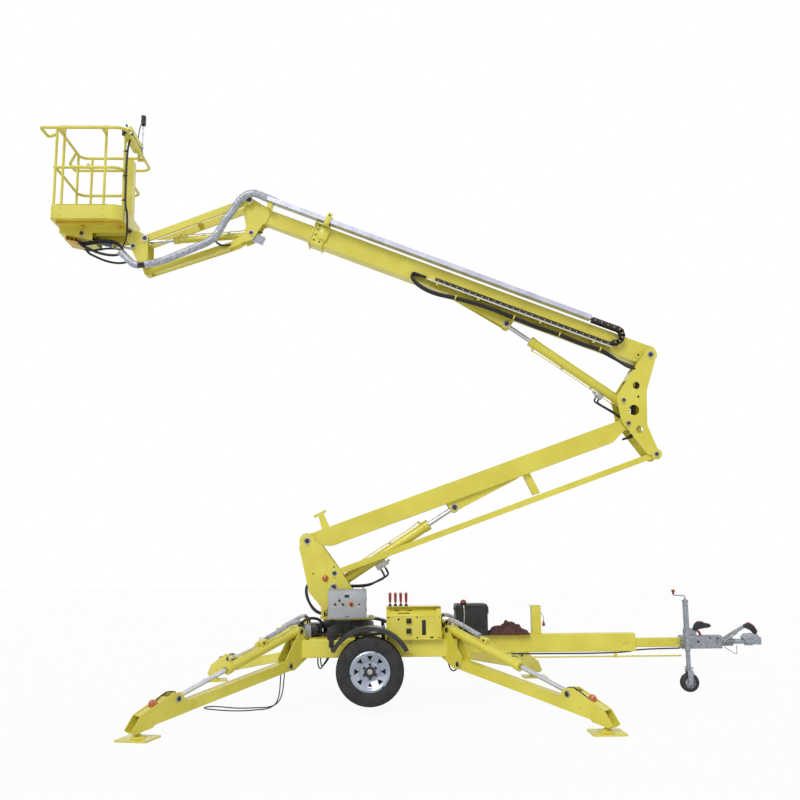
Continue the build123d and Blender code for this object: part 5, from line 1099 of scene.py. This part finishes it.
for number in range(5):
    y = -0.3 + 0.075 * number
    points = [(-0.99, y, 0.72), (-0.9, y + 0.02, 0.742), (-0.78, y * 0.8, 0.735),
              (-0.64, -0.36, 0.73 + 0.006 * number),
              (-0.45, -0.38 - 0.01 * number, 0.736), (-0.25, -0.39, 0.73 + 0.006 * number), (-0.14, -0.4, 0.76)]
    makeHose(f"deck_hose_{number}", points, 0.009, "chassis")
loopTable = (((0.49, -0.5, 0.54), (0.5, -0.512, 0.46), (0.522, -0.514, 0.392), (0.56, -0.514, 0.372),
              (0.6, -0.512, 0.41), (0.61, -0.505, 0.47)),
             ((-0.845, -0.48, 0.54), (-0.85, -0.49, 0.48), (-0.836, -0.494, 0.42), (-0.812, -0.494, 0.41),
              (-0.79, -0.49, 0.45), (-0.755, -0.484, 0.5), (-0.74, -0.48, 0.54)),
             ((-0.82, -0.44, 0.54), (-0.822, -0.452, 0.48), (-0.808, -0.456, 0.425), (-0.78, -0.45, 0.45),
              (-0.735, -0.444, 0.51), (-0.722, -0.44, 0.545)))
for number, points in enumerate(loopTable):
    makeHose(f"frame_loop_{number}", points, 0.007, "chassis")

postX = 1.4905  # of the boom rest
bm = bmesh.new()
addBlock(bm, (postX, 0, 1.0035), (0.112, 0.112, 0.006), 0.002)
addBlock(bm, (postX, 0, 0.705), (0.15, 0.14, 0.006), 0.002)
for z in (0.88, 0.905):
    addBlock(bm, (postX - 0.01, -0.051, z), (0.03, 0.004, 0.004), 0.001)
for side in (-1, 1):
    addBlock(bm, (postX + 0.052, side * 0.03, 0.94), (0.014, 0.008, 0.04), 0.002)
makePiece("boom_rest_plates", bm, "chassis", "yellow_paint")
bm = bmesh.new()
chainLine = evenLine(routeLine([(postX + 0.06, -0.03, 0.93), (postX + 0.078, -0.034, 0.915),
                                (postX + 0.092, -0.036, 0.88), (postX + 0.094, -0.036, 0.845)]), 0.011)
for number, spot in enumerate(chainLine):
    ahead = chainLine[min(number + 1, len(chainLine) - 1)] - chainLine[max(number - 1, 0)]
    twist = facing(ahead) @ Matrix.Rotation(math.radians(90 * (number % 2)), 4, "Z")
    ring = [(0.005 * math.cos(t), 0, 0.009 * math.sin(t)) for t in [math.tau * k / 12 for k in range(12)]]
    path = [spot + twist.to_3x3() @ Vector(p) for p in ring]
    rings = []
    for k, point in enumerate(path):
        out = (point - spot).normalized()
        tangent = (path[(k + 1) % 12] - path[k - 1]).normalized()
        side = tangent.cross(out)
        rings.append([bm.verts.new(point + (out * math.cos(a) + side * math.sin(a)) * 0.0016)
                      for a in [math.tau * m / 6 for m in range(6)]])
    for k in range(12):
        for m in range(6):
            near, far = rings[k], rings[(k + 1) % 12]
            bm.faces.new((near[m], near[(m + 1) % 6], far[(m + 1) % 6], far[m]))
makePiece("rest_latch_chain", bm, "chassis", "zinc_bolt")
bm = bmesh.new()
addLathe(bm, (postX + 0.094, -0.036, 0.842), (0, 0, -1),
         [(0, pole), (0, 0.005), (0.01, 0.006), (0.014, 0.01), (0.04, 0.016), (0.056, 0.017), (0.058, 0.012),
          (0.058, pole)], 18)
makePiece("rest_latch_tag", bm, "chassis", "red_grip")
bm = bmesh.new()
for x in (2.48, 2.44):
    for side in (-1, 1):
        addBolt(bm, (x, side * 0.075, 0.6), (0, side, 0), 0.01)
for x in (1.194, 2.354):
    addBlock(bm, (x + 0.003, -0.04, 0.47), (0.032, 0.034, 0.054), 0.003)
makePiece("drawbar_trim", bm, "chassis", "yellow_paint")
makeHose("drawbar_lead", [(1.06, -0.05, 0.5), (1.3, -0.052, 0.494), (1.7, -0.05, 0.492), (2.1, -0.052, 0.49),
                          (2.5, -0.05, 0.5), (2.6, -0.048, 0.53), (3.06, -0.048, 0.535)], 0.008, "chassis")
print("chassis done")


leg = {"turn": 50.0, "slope": 10.2, "hingeX": 0.9, "hingeY": 0.6, "hingeZ": 0.456, "jackFoot": (-0.149, 0.335),
       "jackEye": (1.405, 0.096), "lamp": (1.64, 0.106), "halfBracket": 0.065, "halfLeg": 0.056}
corners = (("near_left", -1, -1), ("near_right", 1, -1), ("far_left", -1, 1), ("far_right", 1, 1))
for number, (corner, xSide, ySide) in enumerate(corners):
    turn, slope = math.radians(leg["turn"]), math.radians(leg["slope"])
    outward = Vector((xSide * math.cos(turn), ySide * math.sin(turn), 0))
    across = Vector((outward.y, -outward.x, 0))
    hinge = Vector((layout["frameX"] + xSide * leg["hingeX"], ySide * leg["hingeY"], leg["hingeZ"]))
    down = outward * math.cos(slope) + Vector((0, 0, -math.sin(slope)))
    rise = outward * math.sin(slope) + Vector((0, 0, math.cos(slope)))

    def onLeg(along, up, side=0.0):
        return hinge + down * along + rise * up + across * side

    faces, rings, bolts = bmesh.new(), bmesh.new(), bmesh.new()
    legFaces, legRings = bmesh.new(), bmesh.new()
    for side in (-1, 1):
        for along, height in ((0.0, 0.0), leg["jackFoot"]):
            spot = hinge + outward * along + Vector((0, 0, height))
            addPinFace(faces, spot + across * side * (leg["halfBracket"] + 0.008), across * side, 0.02)
            addWasher(rings, spot + across * side * leg["halfBracket"], across * side, 0.0205, 0.03)
        spot = onLeg(*leg["jackEye"])
        addPinFace(legFaces, spot + across * side * (leg["halfLeg"] + 0.008), across * side, 0.022)
        addWasher(legRings, spot + across * side * leg["halfLeg"], across * side, 0.0225, 0.034)
        for along, up in ((1.56, 0.02), (1.7, -0.01)):
            addBolt(bolts, onLeg(along, up, side * leg["halfLeg"]), across * side, 0.007)
    makePiece(f"bracket_pin_faces_{corner}", faces, "chassis", "black_paint")
    makePiece(f"bracket_pin_washers_{corner}", rings, "chassis", "zinc_bolt")
    makePiece(f"leg_pin_faces_{corner}", legFaces, f"leg_{corner}", "black_paint")
    makePiece(f"leg_pin_washers_{corner}", legRings, f"leg_{corner}", "zinc_bolt")
    makePiece(f"leg_bolts_{corner}", bolts, f"leg_{corner}", "yellow_paint")

    lampUp = (down * 0.34 + rise * 0.94).normalized()
    bm = bmesh.new()
    addLathe(bm, onLeg(*leg["lamp"]), lampUp,
             [(0, pole), (0, 0.04), (0.006, 0.042), (0.012, 0.04), (0.02, 0.036), (0.034, 0.032), (0.044, 0.022),
              (0.047, pole)], 28)
    makePiece(f"leg_lamp_{corner}", bm, f"leg_{corner}", "orange_lens")
    bm = bmesh.new()
    addDisc(bm, onLeg(1.64, 0.098), lampUp, 0.046, 0.008, sides=28)
    for side in (-1, 1):
        addBolt(bm, onLeg(1.48, 0.146, side * 0.03), lampUp, 0.006)
        addBolt(bm, onLeg(1.78, 0.055, side * 0.03), lampUp, 0.006)
    makePiece(f"leg_lamp_base_{corner}", bm, f"leg_{corner}", "black_plastic")
    makeHose(f"leg_lamp_lead_{corner}", [onLeg(1.6, 0.118, 0.02), onLeg(1.56, 0.14, 0.03),
                                         onLeg(1.5, 0.158, 0.034), onLeg(1.43, 0.168, 0.03),
                                         onLeg(1.37, 0.14, 0.02)], 0.005, f"leg_{corner}")

    jackFoot = hinge + outward * leg["jackFoot"][0] + Vector((0, 0, leg["jackFoot"][1]))
    jackEye = onLeg(*leg["jackEye"])
    jackAlong = (jackEye - jackFoot).normalized()
    jackUp = across.cross(jackAlong)
    if jackUp.z < 0:
        jackUp = -jackUp

    def onJack(along, up, side=0.0):
        return jackFoot + jackAlong * along + jackUp * up + across * side

    turnJack = Matrix((jackAlong, across, jackUp)).transposed().to_4x4()
    bm = bmesh.new()
    addBlock(bm, onJack(0.48, 0.066), (0.09, 0.06, 0.05), 0.004, turnJack)
    addBlock(bm, onJack(0.93, 0.046), (0.04, 0.036, 0.026), 0.003, turnJack)
    makePiece(f"jack_valve_{corner}", bm, f"leg_barrel_{corner}", "yellow_paint")
    bm = bmesh.new()
    for side in (-1, 1):
        addDisc(bm, onJack(0.49, 0.07, side * 0.03), across * side, 0.012, 0.004, sides=18, edge=0.001)
    makePiece(f"jack_plugs_{corner}", bm, f"leg_barrel_{corner}", "black_plastic")
    bm = bmesh.new()
    addLathe(bm, onJack(0.99, 0), jackAlong,
             [(0, 0.05), (0.003, 0.05), (0.004, 0.046), (0.004, 0.03), (0, 0.028)], 32)
    makePiece(f"jack_gland_{corner}", bm, f"leg_barrel_{corner}", "yellow_paint")
    bm = bmesh.new()
    for spot, axis in ((onJack(0.525, 0.072), jackAlong), (onJack(0.93, 0.058), jackUp)):
        addDisc(bm, spot, axis, 0.009, 0.014, sides=6, edge=0.0008)
    for along, side in ((0.43, 0.014), (0.415, -0.014)):
        addDisc(bm, onJack(along, 0.086, side), -jackAlong, 0.01, 0.022, sides=6, edge=0.0008)
    makePiece(f"jack_fittings_{corner}", bm, f"leg_barrel_{corner}", "zinc_bolt")
    makeHose(f"jack_line_{corner}", [onJack(0.535, 0.072), onJack(0.58, 0.074), onJack(0.64, 0.064),
                                     onJack(0.78, 0.06), onJack(0.88, 0.066), onJack(0.915, 0.084),
                                     onJack(0.93, 0.082), onJack(0.93, 0.068)], 0.0055,
             f"leg_barrel_{corner}", "yellow_paint")
    entry = Vector((hinge.x - xSide * 0.165, ySide * 0.47, 0.716))
    makeBundle(f"jack_wrap_{corner}", [onJack(0.4, 0.086), onJack(0.32, 0.092, 0.004), onJack(0.21, 0.094, -0.006),
                                       onJack(0.1, 0.1, 0.006), onJack(0.015, 0.1), onJack(-0.06, 0.08)],
               0.023, f"leg_barrel_{corner}", "film_wrap", seed=20 + number, lumps=0.16, ridge=0.1, turns=70.0)
    for side in (-1, 1):
        makeBundle(f"jack_hose_{corner}_{'a' if side < 0 else 'b'}",
                   [onJack(-0.045, 0.086, side * 0.01), onJack(-0.085, 0.066, side * 0.012),
                    onJack(-0.11, 0.01, side * 0.016), (jackFoot + entry) / 2 + across * side * 0.02,
                    entry + Vector((0, 0, 0.03)) + across * side * 0.016, entry + across * side * 0.016],
                   0.009, None, "hose_rubber", seed=1, lumps=0, ridge=0, sides=12,
                   bend=("chassis", f"leg_barrel_{corner}", tuple(entry), tuple(onJack(-0.05, 0.06))))
print("outriggers done")


coupling = {"half": 0.055, "middle": 0.597}
bm = bmesh.new()
for x in (3.117, 3.268):
    for side in (-1, 1):
        addBolt(bm, (x, side * coupling["half"], 0.601), (0, side, 0), 0.01)
for x in (3.4, 3.48):
    addBolt(bm, (x, -coupling["half"], 0.64), (0, -1, 0), 0.007)
makePiece("coupling_bolts", bm, "chassis", "black_paint")
bm = bmesh.new()
for side in (-1, 1):
    addBlock(bm, (3.155, side * 0.0575, 0.597), (0.15, 0.005, 0.132), 0.002)
for z in (0.6645, 0.5295):
    addBlock(bm, (3.305, 0, z), (0.44, 0.096, 0.006), 0.002)
addBlock(bm, (3.52, 0, 0.597), (0.014, 0.122, 0.142), 0.003)
for y in (-0.03, 0.03):
    addBlock(bm, (3.195, y, 0.7), (0.13, 0.012, 0.08), 0.004)
addDisc(bm, (3.22, -0.042, 0.715), (0, 1, 0), 0.012, 0.084, sides=18)
makePiece("coupling_plates", bm, "chassis", "galvanised")
bm = bmesh.new()
ribs = [(0, 0.03), (0, 0.046)]
for number in range(9):
    start = 0.004 + 0.014 * number
    ribs += [(start + 0.003, 0.047), (start + 0.007, 0.0495), (start + 0.011, 0.047), (start + 0.0125, 0.04)]
ribs += [(0.131, 0.044), (0.132, 0.03)]
addLathe(bm, (3.5295, 0, coupling["middle"]), (1, 0, 0), ribs, 32)
makePiece("coupling_bellows", bm, "chassis", "black_plastic")

bm = bmesh.new()
addSlab(bm, ((3.215, 0.735), (3.235, 0.79), (3.275, 0.812), (3.33, 0.806), (3.4, 0.792), (3.425, 0.768),
             (3.395, 0.748), (3.3, 0.744), (3.262, 0.728), (3.24, 0.722)), -0.058, -0.026, 0.008)
addSlab(bm, ((3.785, 0.74), (3.8, 0.778), (3.85, 0.79), (3.9, 0.76), (3.938, 0.7), (3.93, 0.668),
             (3.905, 0.672), (3.88, 0.715), (3.84, 0.735)), -0.024, 0.024, 0.007)
makePiece("coupling_grips", bm, "chassis", "black_plastic")
bm = bmesh.new()
addSlab(bm, ((3.245, 0.8), (3.275, 0.822), (3.33, 0.816), (3.345, 0.806), (3.275, 0.812)), -0.052, -0.032, 0.002)
addSlab(bm, ((3.24, 0.724), (3.275, 0.73), (3.302, 0.7), (3.31, 0.664), (3.29, 0.664), (3.28, 0.695),
             (3.262, 0.712)), -0.052, -0.034, 0.003)
addSlab(bm, ((3.82, 0.786), (3.852, 0.8), (3.906, 0.768), (3.944, 0.704), (3.936, 0.698), (3.896, 0.758),
             (3.85, 0.788)), -0.018, 0.018, 0.002)
makePiece("coupling_red_trim", bm, "chassis", "red_grip")
bm = bmesh.new()
addSlab(bm, ((3.76, 0.64), (3.8, 0.68), (3.88, 0.682), (3.938, 0.668), (3.972, 0.612), (3.965, 0.58),
             (3.93, 0.572), (3.86, 0.576), (3.8, 0.58)), -0.044, 0.044, 0.01)
makePiece("coupling_nose", bm, "chassis", "galvanised")
leverTurn = turnY(-math.degrees(math.atan2(0.152, 0.263)))
bm = bmesh.new()
for shift in (0.02, -0.022):
    addBlock(bm, (3.6 - shift * 0.5, -0.0795, 0.661 + shift * 0.86), (0.2, 0.01, 0.012), 0.003, leverTurn)
for x, z in ((3.51, 0.609), (3.69, 0.713)):
    addBolt(bm, (x, -0.083, z), (0, -1, 0), 0.009)
makePiece("lever_strut", bm, "handbrake_lever", "galvanised")
makeHose("wire_stand", [(3.55, -0.05, 0.545), (3.555, -0.05, 0.54), (3.672, -0.05, 0.468), (3.682, -0.05, 0.466),
                        (3.686, -0.05, 0.476), (3.688, -0.05, 0.56)], 0.004, "chassis", "galvanised", sides=3)

jockey = {"x": 3.102, "y": -0.195, "top": 1.04, "wheelZ": 0.193, "spokeHoles": 5}
bm = bmesh.new()
addLathe(bm, (jockey["x"], jockey["y"], jockey["top"] - 0.004), (0, 0, 1),
         [(0, 0.0302), (0.004, 0.0335), (0.016, 0.0335), (0.02, 0.03), (0.026, 0.016), (0.034, 0.012), (0.04, 0.011),
          (0.041, pole)], 28)
for z in (0.58, 0.63):
    addWasher(bm, (jockey["x"], jockey["y"], z - 0.004), (0, 0, 1), 0.0305, 0.0435, 0.008)
addBolt(bm, (jockey["x"] + 0.02, jockey["y"] - 0.04, 0.605), (0, -1, 0), 0.008)
addDisc(bm, (jockey["x"] - 0.04, jockey["y"] - 0.01, 0.605), (-1, 0, 0), 0.006, 0.06, sides=12)
addBlock(bm, (jockey["x"] - 0.1, jockey["y"] - 0.01, 0.605), (0.01, 0.07, 0.014), 0.004)
makePiece("jockey_cap", bm, "chassis", "galvanised")
crankLine = ((0, 1.07), (0, 1.092), (-0.006, 1.1), (-0.039, 1.102), (-0.089, 1.104), (-0.114, 1.106), (-0.122, 1.112),
             (-0.124, 1.13))
makeHose("jockey_crank", [(jockey["x"] + x, jockey["y"], z) for x, z in crankLine], 0.006, "chassis", "galvanised")
bm = bmesh.new()
addLathe(bm, (jockey["x"] - 0.124, jockey["y"], 1.112), (0, 0, 1),
         [(0, pole), (0, 0.009), (0.01, 0.01), (0.03, 0.015), (0.048, 0.021), (0.053, 0.02), (0.055, 0.012),
          (0.055, pole)], 20)
makePiece("jockey_crank_grip", bm, "chassis", "red_grip")
bm = bmesh.new()
wheelZ = jockey["wheelZ"]
addLathe(bm, (jockey["x"], jockey["y"] - 0.036, wheelZ), (0, 1, 0),
         [(0, 0.058), (0, 0.08), (0.004, 0.09), (0.014, 0.0985), (0.026, 0.1), (0.028, 0.097), (0.034, 0.097),
          (0.036, 0.1), (0.038, 0.097), (0.044, 0.097), (0.046, 0.1), (0.058, 0.0985), (0.068, 0.09),
          (0.072, 0.08), (0.072, 0.058)], 40)
jockeyTyre = makePiece("jockey_tyre", bm, "jockey_wheel", "hose_rubber")
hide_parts("jockey_wheel")
bm = bmesh.new()
addLathe(bm, (jockey["x"], jockey["y"] - 0.036, wheelZ), (0, 1, 0),
         [(0.002, 0.0105), (0.002, 0.022), (0.014, 0.026), (0.02, 0.046), (0.004, 0.054), (0.003, 0.0585),
          (0.069, 0.0585), (0.068, 0.054), (0.052, 0.046), (0.058, 0.026), (0.07, 0.022), (0.07, 0.0105),
          (0.002, 0.0105)], 40)
for number in range(jockey["spokeHoles"]):
    turn = math.tau * number / jockey["spokeHoles"]
    spot = (jockey["x"] + 0.036 * math.cos(turn), jockey["y"] - 0.026, wheelZ + 0.036 * math.sin(turn))
    addDisc(bm, spot, (0, -1, 0), 0.006, 0.006, sides=12)
makePiece("jockey_rim", bm, "jockey_wheel", "galvanised")
bm = bmesh.new()
for side in (-1, 1):
    addBolt(bm, (jockey["x"], jockey["y"] + side * 0.048, wheelZ), (0, side, 0), 0.011)
addBlock(bm, (jockey["x"] + 0.002, jockey["y"], 0.345), (0.07, 0.104, 0.014), 0.004)
for side in (-1, 1):
    sheet = [(jockey["x"] + x, z) for x, z in ((-0.026, 0.33), (0.026, 0.33), (0.038, 0.29), (0.024, 0.2), (0, 0.172),
                                               (-0.024, 0.2))]
    addSlab(bm, sheet, jockey["y"] + side * 0.05 - 0.002, jockey["y"] + side * 0.05 + 0.002, 0.001)
makePiece("jockey_fork", bm, "jockey_leg", "galvanised")
print("coupling done")


tub = {"left": -3.856, "z": 5.29}
railX, railZ = -3.096, 6.385
bm = bmesh.new()
shellSide = [(-3.161, 6.4025), (-3.161, 6.455), (-3.152, 6.468), (-3.07, 6.5), (-3.056, 6.4985), (-3.051, 6.488),
             (-3.051, 6.4025)]
addSlab(bm, shellSide, -0.22, 0.32, 0.006)
for y in (-0.12, 0.22):
    addBlock(bm, (railX, y, railZ + 0.006), (0.05, 0.04, 0.05), 0.004)
addBlock(bm, (-3.046, 0.05, 6.45), (0.006, 0.42, 0.06), 0.002)
consolePiece = makePiece("console_box", bm, "basket", "yellow_paint")
bm = bmesh.new()
addBlock(bm, (-3.112, 0.05, 6.4865), (0.076, 0.48, 0.003), 0.001, turnY(-21.3))
makePiece("console_panel", bm, "basket", "grey_paint")
bm = bmesh.new()
for y in (-0.13, 0.01):
    addLathe(bm, (-3.112, y, 6.488), (-0.36, 0, 0.93),
             [(0, pole), (0, 0.021), (0.004, 0.021), (0.008, 0.017), (0.013, 0.018), (0.018, 0.012), (0.024, 0.007),
              (0.05, 0.006), (0.056, 0.01), (0.07, 0.012), (0.078, 0.009), (0.079, pole)], 20)
for y in (0.08, 0.115, 0.15):
    addDisc(bm, (-3.112, y, 6.487), (-0.36, 0, 0.93), 0.008, 0.012, sides=14)
makePiece("console_sticks", bm, "basket", "black_plastic")
bm = bmesh.new()
addLathe(bm, (-3.112, 0.215, 6.487), (-0.36, 0, 0.93),
         [(0, pole), (0, 0.01), (0.014, 0.01), (0.016, 0.019), (0.024, 0.019), (0.029, 0.01), (0.03, pole)], 22)
makePiece("console_stop", bm, "basket", "red_grip")

staff = {"x": -3.041, "y": 0.25}
bm = bmesh.new()
addLathe(bm, (staff["x"], staff["y"], 6.342), (0, 0, 1),
         [(0, pole), (0, 0.012), (0.355, 0.012), (0.357, 0.0145), (0.372, 0.0145), (0.374, 0.008), (0.395, 0.007),
          (0.396, pole)], 20)
for z in (6.372, 6.44):
    addBlock(bm, (staff["x"] - 0.004, staff["y"], z), (0.04, 0.044, 0.014), 0.004)
makePiece("staff", bm, "basket", "chrome_rod")
bm = bmesh.new()
for number in range(8):
    z = 6.742 + 0.0145 * number
    width = 0.05 if number % 2 else 0.044
    addBlock(bm, (staff["x"], staff["y"], z), (width, width + 0.01, 0.0146), 0.003)
addBlock(bm, (staff["x"], staff["y"], 6.851), (0.034, 0.04, 0.01), 0.004)
addDisc(bm, (staff["x"], staff["y"], 6.716), (0, 0, 1), 0.016, 0.022, sides=18)
makePiece("staff_head", bm, "basket", "black_plastic")
makeHose("staff_rod", [(staff["x"] - 0.016, staff["y"], 6.76), (-3.066, 0.236, 6.735), (-3.08, 0.228, 6.68),
                       (-3.086, 0.22, 6.6), (-3.088, 0.215, 6.52), (-3.088, 0.215, 6.488)], 0.006, "basket")
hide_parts("basket_console")
for number, (dx, dy) in enumerate(((0.0, 0.0), (0.012, -0.01))):
    points = [(-3.07, -0.18, 6.4), (-3.058 + dx, -0.215 + dy, 6.36), (-3.052 + dx, -0.28 + dy, 6.3),
              (-3.062 + dx, -0.322 + dy, 6.2), (-3.07 + dx, -0.326 + dy, 6.0), (-3.068 + dx, -0.328 + dy, 5.7),
              (-3.066 + dx, -0.33 + dy, 5.48), (-3.04 + dx, -0.336 + dy, 5.42), (-3.032 + dx, -0.336 + dy, 5.28),
              (-3.036 + dx, -0.32 + dy, 5.16), (-3.06, -0.26, 5.09), (-3.11, -0.19, 5.04)]
    makeHose(f"basket_lead_{number}", points, 0.0075, "basket")
bm = bmesh.new()
for z in (6.15, 5.85, 5.56):
    addWasher(bm, (railX, -0.3, z - 0.005), (0, 0, 1), 0.0155, 0.0185, 0.01)
    addBlock(bm, (-3.068, -0.326, z), (0.04, 0.028, 0.006), 0.002)
addBlock(bm, (-3.05, -0.4, 6.345), (0.07, 0.05, 0.034), 0.006)
addBlock(bm, (-3.01, -0.4, 6.318), (0.05, 0.026, 0.026), 0.004, turnY(35))
addBlock(bm, (-3.092, -0.4, 6.33), (0.034, 0.03, 0.06), 0.005)
makePiece("rail_clamp", bm, "basket", "black_plastic")
bm = bmesh.new()
for x, y in ((-3.05, -0.427), (-3.01, -0.414)):
    addBolt(bm, (x, y, 6.34 - (x + 3.05) * 0.5), (0, -1, 0), 0.009)
makePiece("rail_clamp_bolts", bm, "basket", "chrome_rod")

bm = bmesh.new()
postTable = ((-3.831, -0.428), (-3.746, -0.428), (-3.276, -0.428), (-3.096, -0.3), (-3.831, 0.332), (-3.691, 0.428),
             (-3.276, 0.428))
for x, y in postTable:
    addLathe(bm, (x, y, tub["z"] + 0.004), (0, 0, 1), [(0, 0.0151), (0, 0.026), (0.005, 0.026), (0.008, 0.0175),
                                                       (0.012, 0.0152)], 20)
    outward = -1 if y < 0 else 1
    if abs(y) > 0.4:
        for z in (5.33, 5.42):
            addBolt(bm, (x, outward * 0.45, z), (0, outward, 0), 0.007, washer=False)
for x in (-3.746, -3.276):
    addLathe(bm, (x - 0.022, -0.428, railZ), (1, 0, 0),
             [(0, 0.0191), (0, 0.0225), (0.044, 0.0225), (0.044, 0.0191)], 20)
addBlock(bm, (-3.512, -0.452, 5.458), (0.56, 0.006, 0.006), 0.0015)
for side in (-1, 1):
    addBlock(bm, (-3.52, side * 0.4515, 5.297), (0.6, 0.005, 0.01), 0.0015)
makePiece("basket_sockets", bm, "basket", "yellow_paint")
bm = bmesh.new()
for i in range(16):
    for j in range(18):
        x = tub["left"] + 0.045 + 0.046 * i
        y = -0.405 + 0.0475 * j
        if math.hypot(max(x + 3.186, 0), max(abs(y) - 0.32, 0)) > 0.11:
            continue
        addBlock(bm, (x, y, tub["z"] + 0.005), (0.024, 0.006, 0.004), 0,
                 Matrix.Rotation(math.radians(45 if (i + j) % 2 else -45), 4, "Z"))
makePiece("floor_treads", bm, "basket", "yellow_paint")
# the ribs under the basket floor take the darker golden copy of the yellow paint: painted shade of the underside
bm = bmesh.new()
for y in (-0.36, 0.36):
    addBlock(bm, (-3.456, y, tub["z"] - 0.018), (0.72, 0.03, 0.036), 0.003)
addBlock(bm, (-3.15, 0, tub["z"] - 0.018), (0.03, 0.7, 0.036), 0.003)
for y in (-0.285, 0.285):
    addBlock(bm, (-3.56, y, tub["z"] - 0.018), (0.03, 0.15, 0.034), 0.003)
for number in range(4):
    addBlock(bm, (-3.77 + 0.045 * number, 0, 5.176 - 0.01 * number), (0.006, 0.3, 0.06), 0.001)
addBlock(bm, (-3.702, 0, 5.138), (0.17, 0.31, 0.006), 0.002, turnY(12))
makePiece("floor_ribs", bm, "basket", "golden_yellow_and_painted_shade")
for number, (y, z) in enumerate(((-0.15, 0.0), (-0.12, -0.014), (-0.09, -0.004), (0.11, -0.01))):
    points = [(-3.64, y, 5.135 + z), (-3.59, y, 5.112 + z), (-3.5, y, 5.122 + z), (-3.39, y, 5.14 + z),
              (-3.27, y, 5.142 + z), (-3.18, y, 5.115 + z), (-3.13, y * 0.9, 5.06 + z), (-3.12, y, 5.01)]
    makeHose(f"underfloor_hose_{number}", points, 0.012, "basket")
for number, (y, z) in enumerate(((-0.15, 0.0), (-0.125, 0.012), (0.14, 0.0))):
    points = [(-3.62, y, 5.12), (-3.6, y, 5.085 + z), (-3.52, y, 5.045 + z), (-3.4, y, 4.99 + z),
              (-3.28, y, 4.962 + z), (-3.18, y, 4.962 + z), (-3.12, y, 4.985)]
    makeHose(f"underfloor_loop_{number}", points, 0.013, "basket")

levelFoot = Vector((-3.579, 0, 5.21))
levelAlong = (levellingPin - levelFoot).normalized()
makeBundle("levelling_wrap", [levelFoot + levelAlong * 0.07, levelFoot + levelAlong * 0.16,
                              levelFoot + levelAlong * 0.26, levelFoot + levelAlong * 0.36], 0.036,
           "levelling_barrel", "blue_film", seed=31, lumps=0.09, ridge=0.07, turns=60.0)
bm = bmesh.new()
for along in (0.06, 0.33):
    spot = levelFoot + levelAlong * along
    addDisc(bm, spot + Vector((0, -0.03, 0)), (0, -1, 0), 0.01, 0.02, sides=6, edge=0.0008)
makePiece("levelling_ports", bm, "levelling_barrel", "zinc_bolt")
print("basket done")
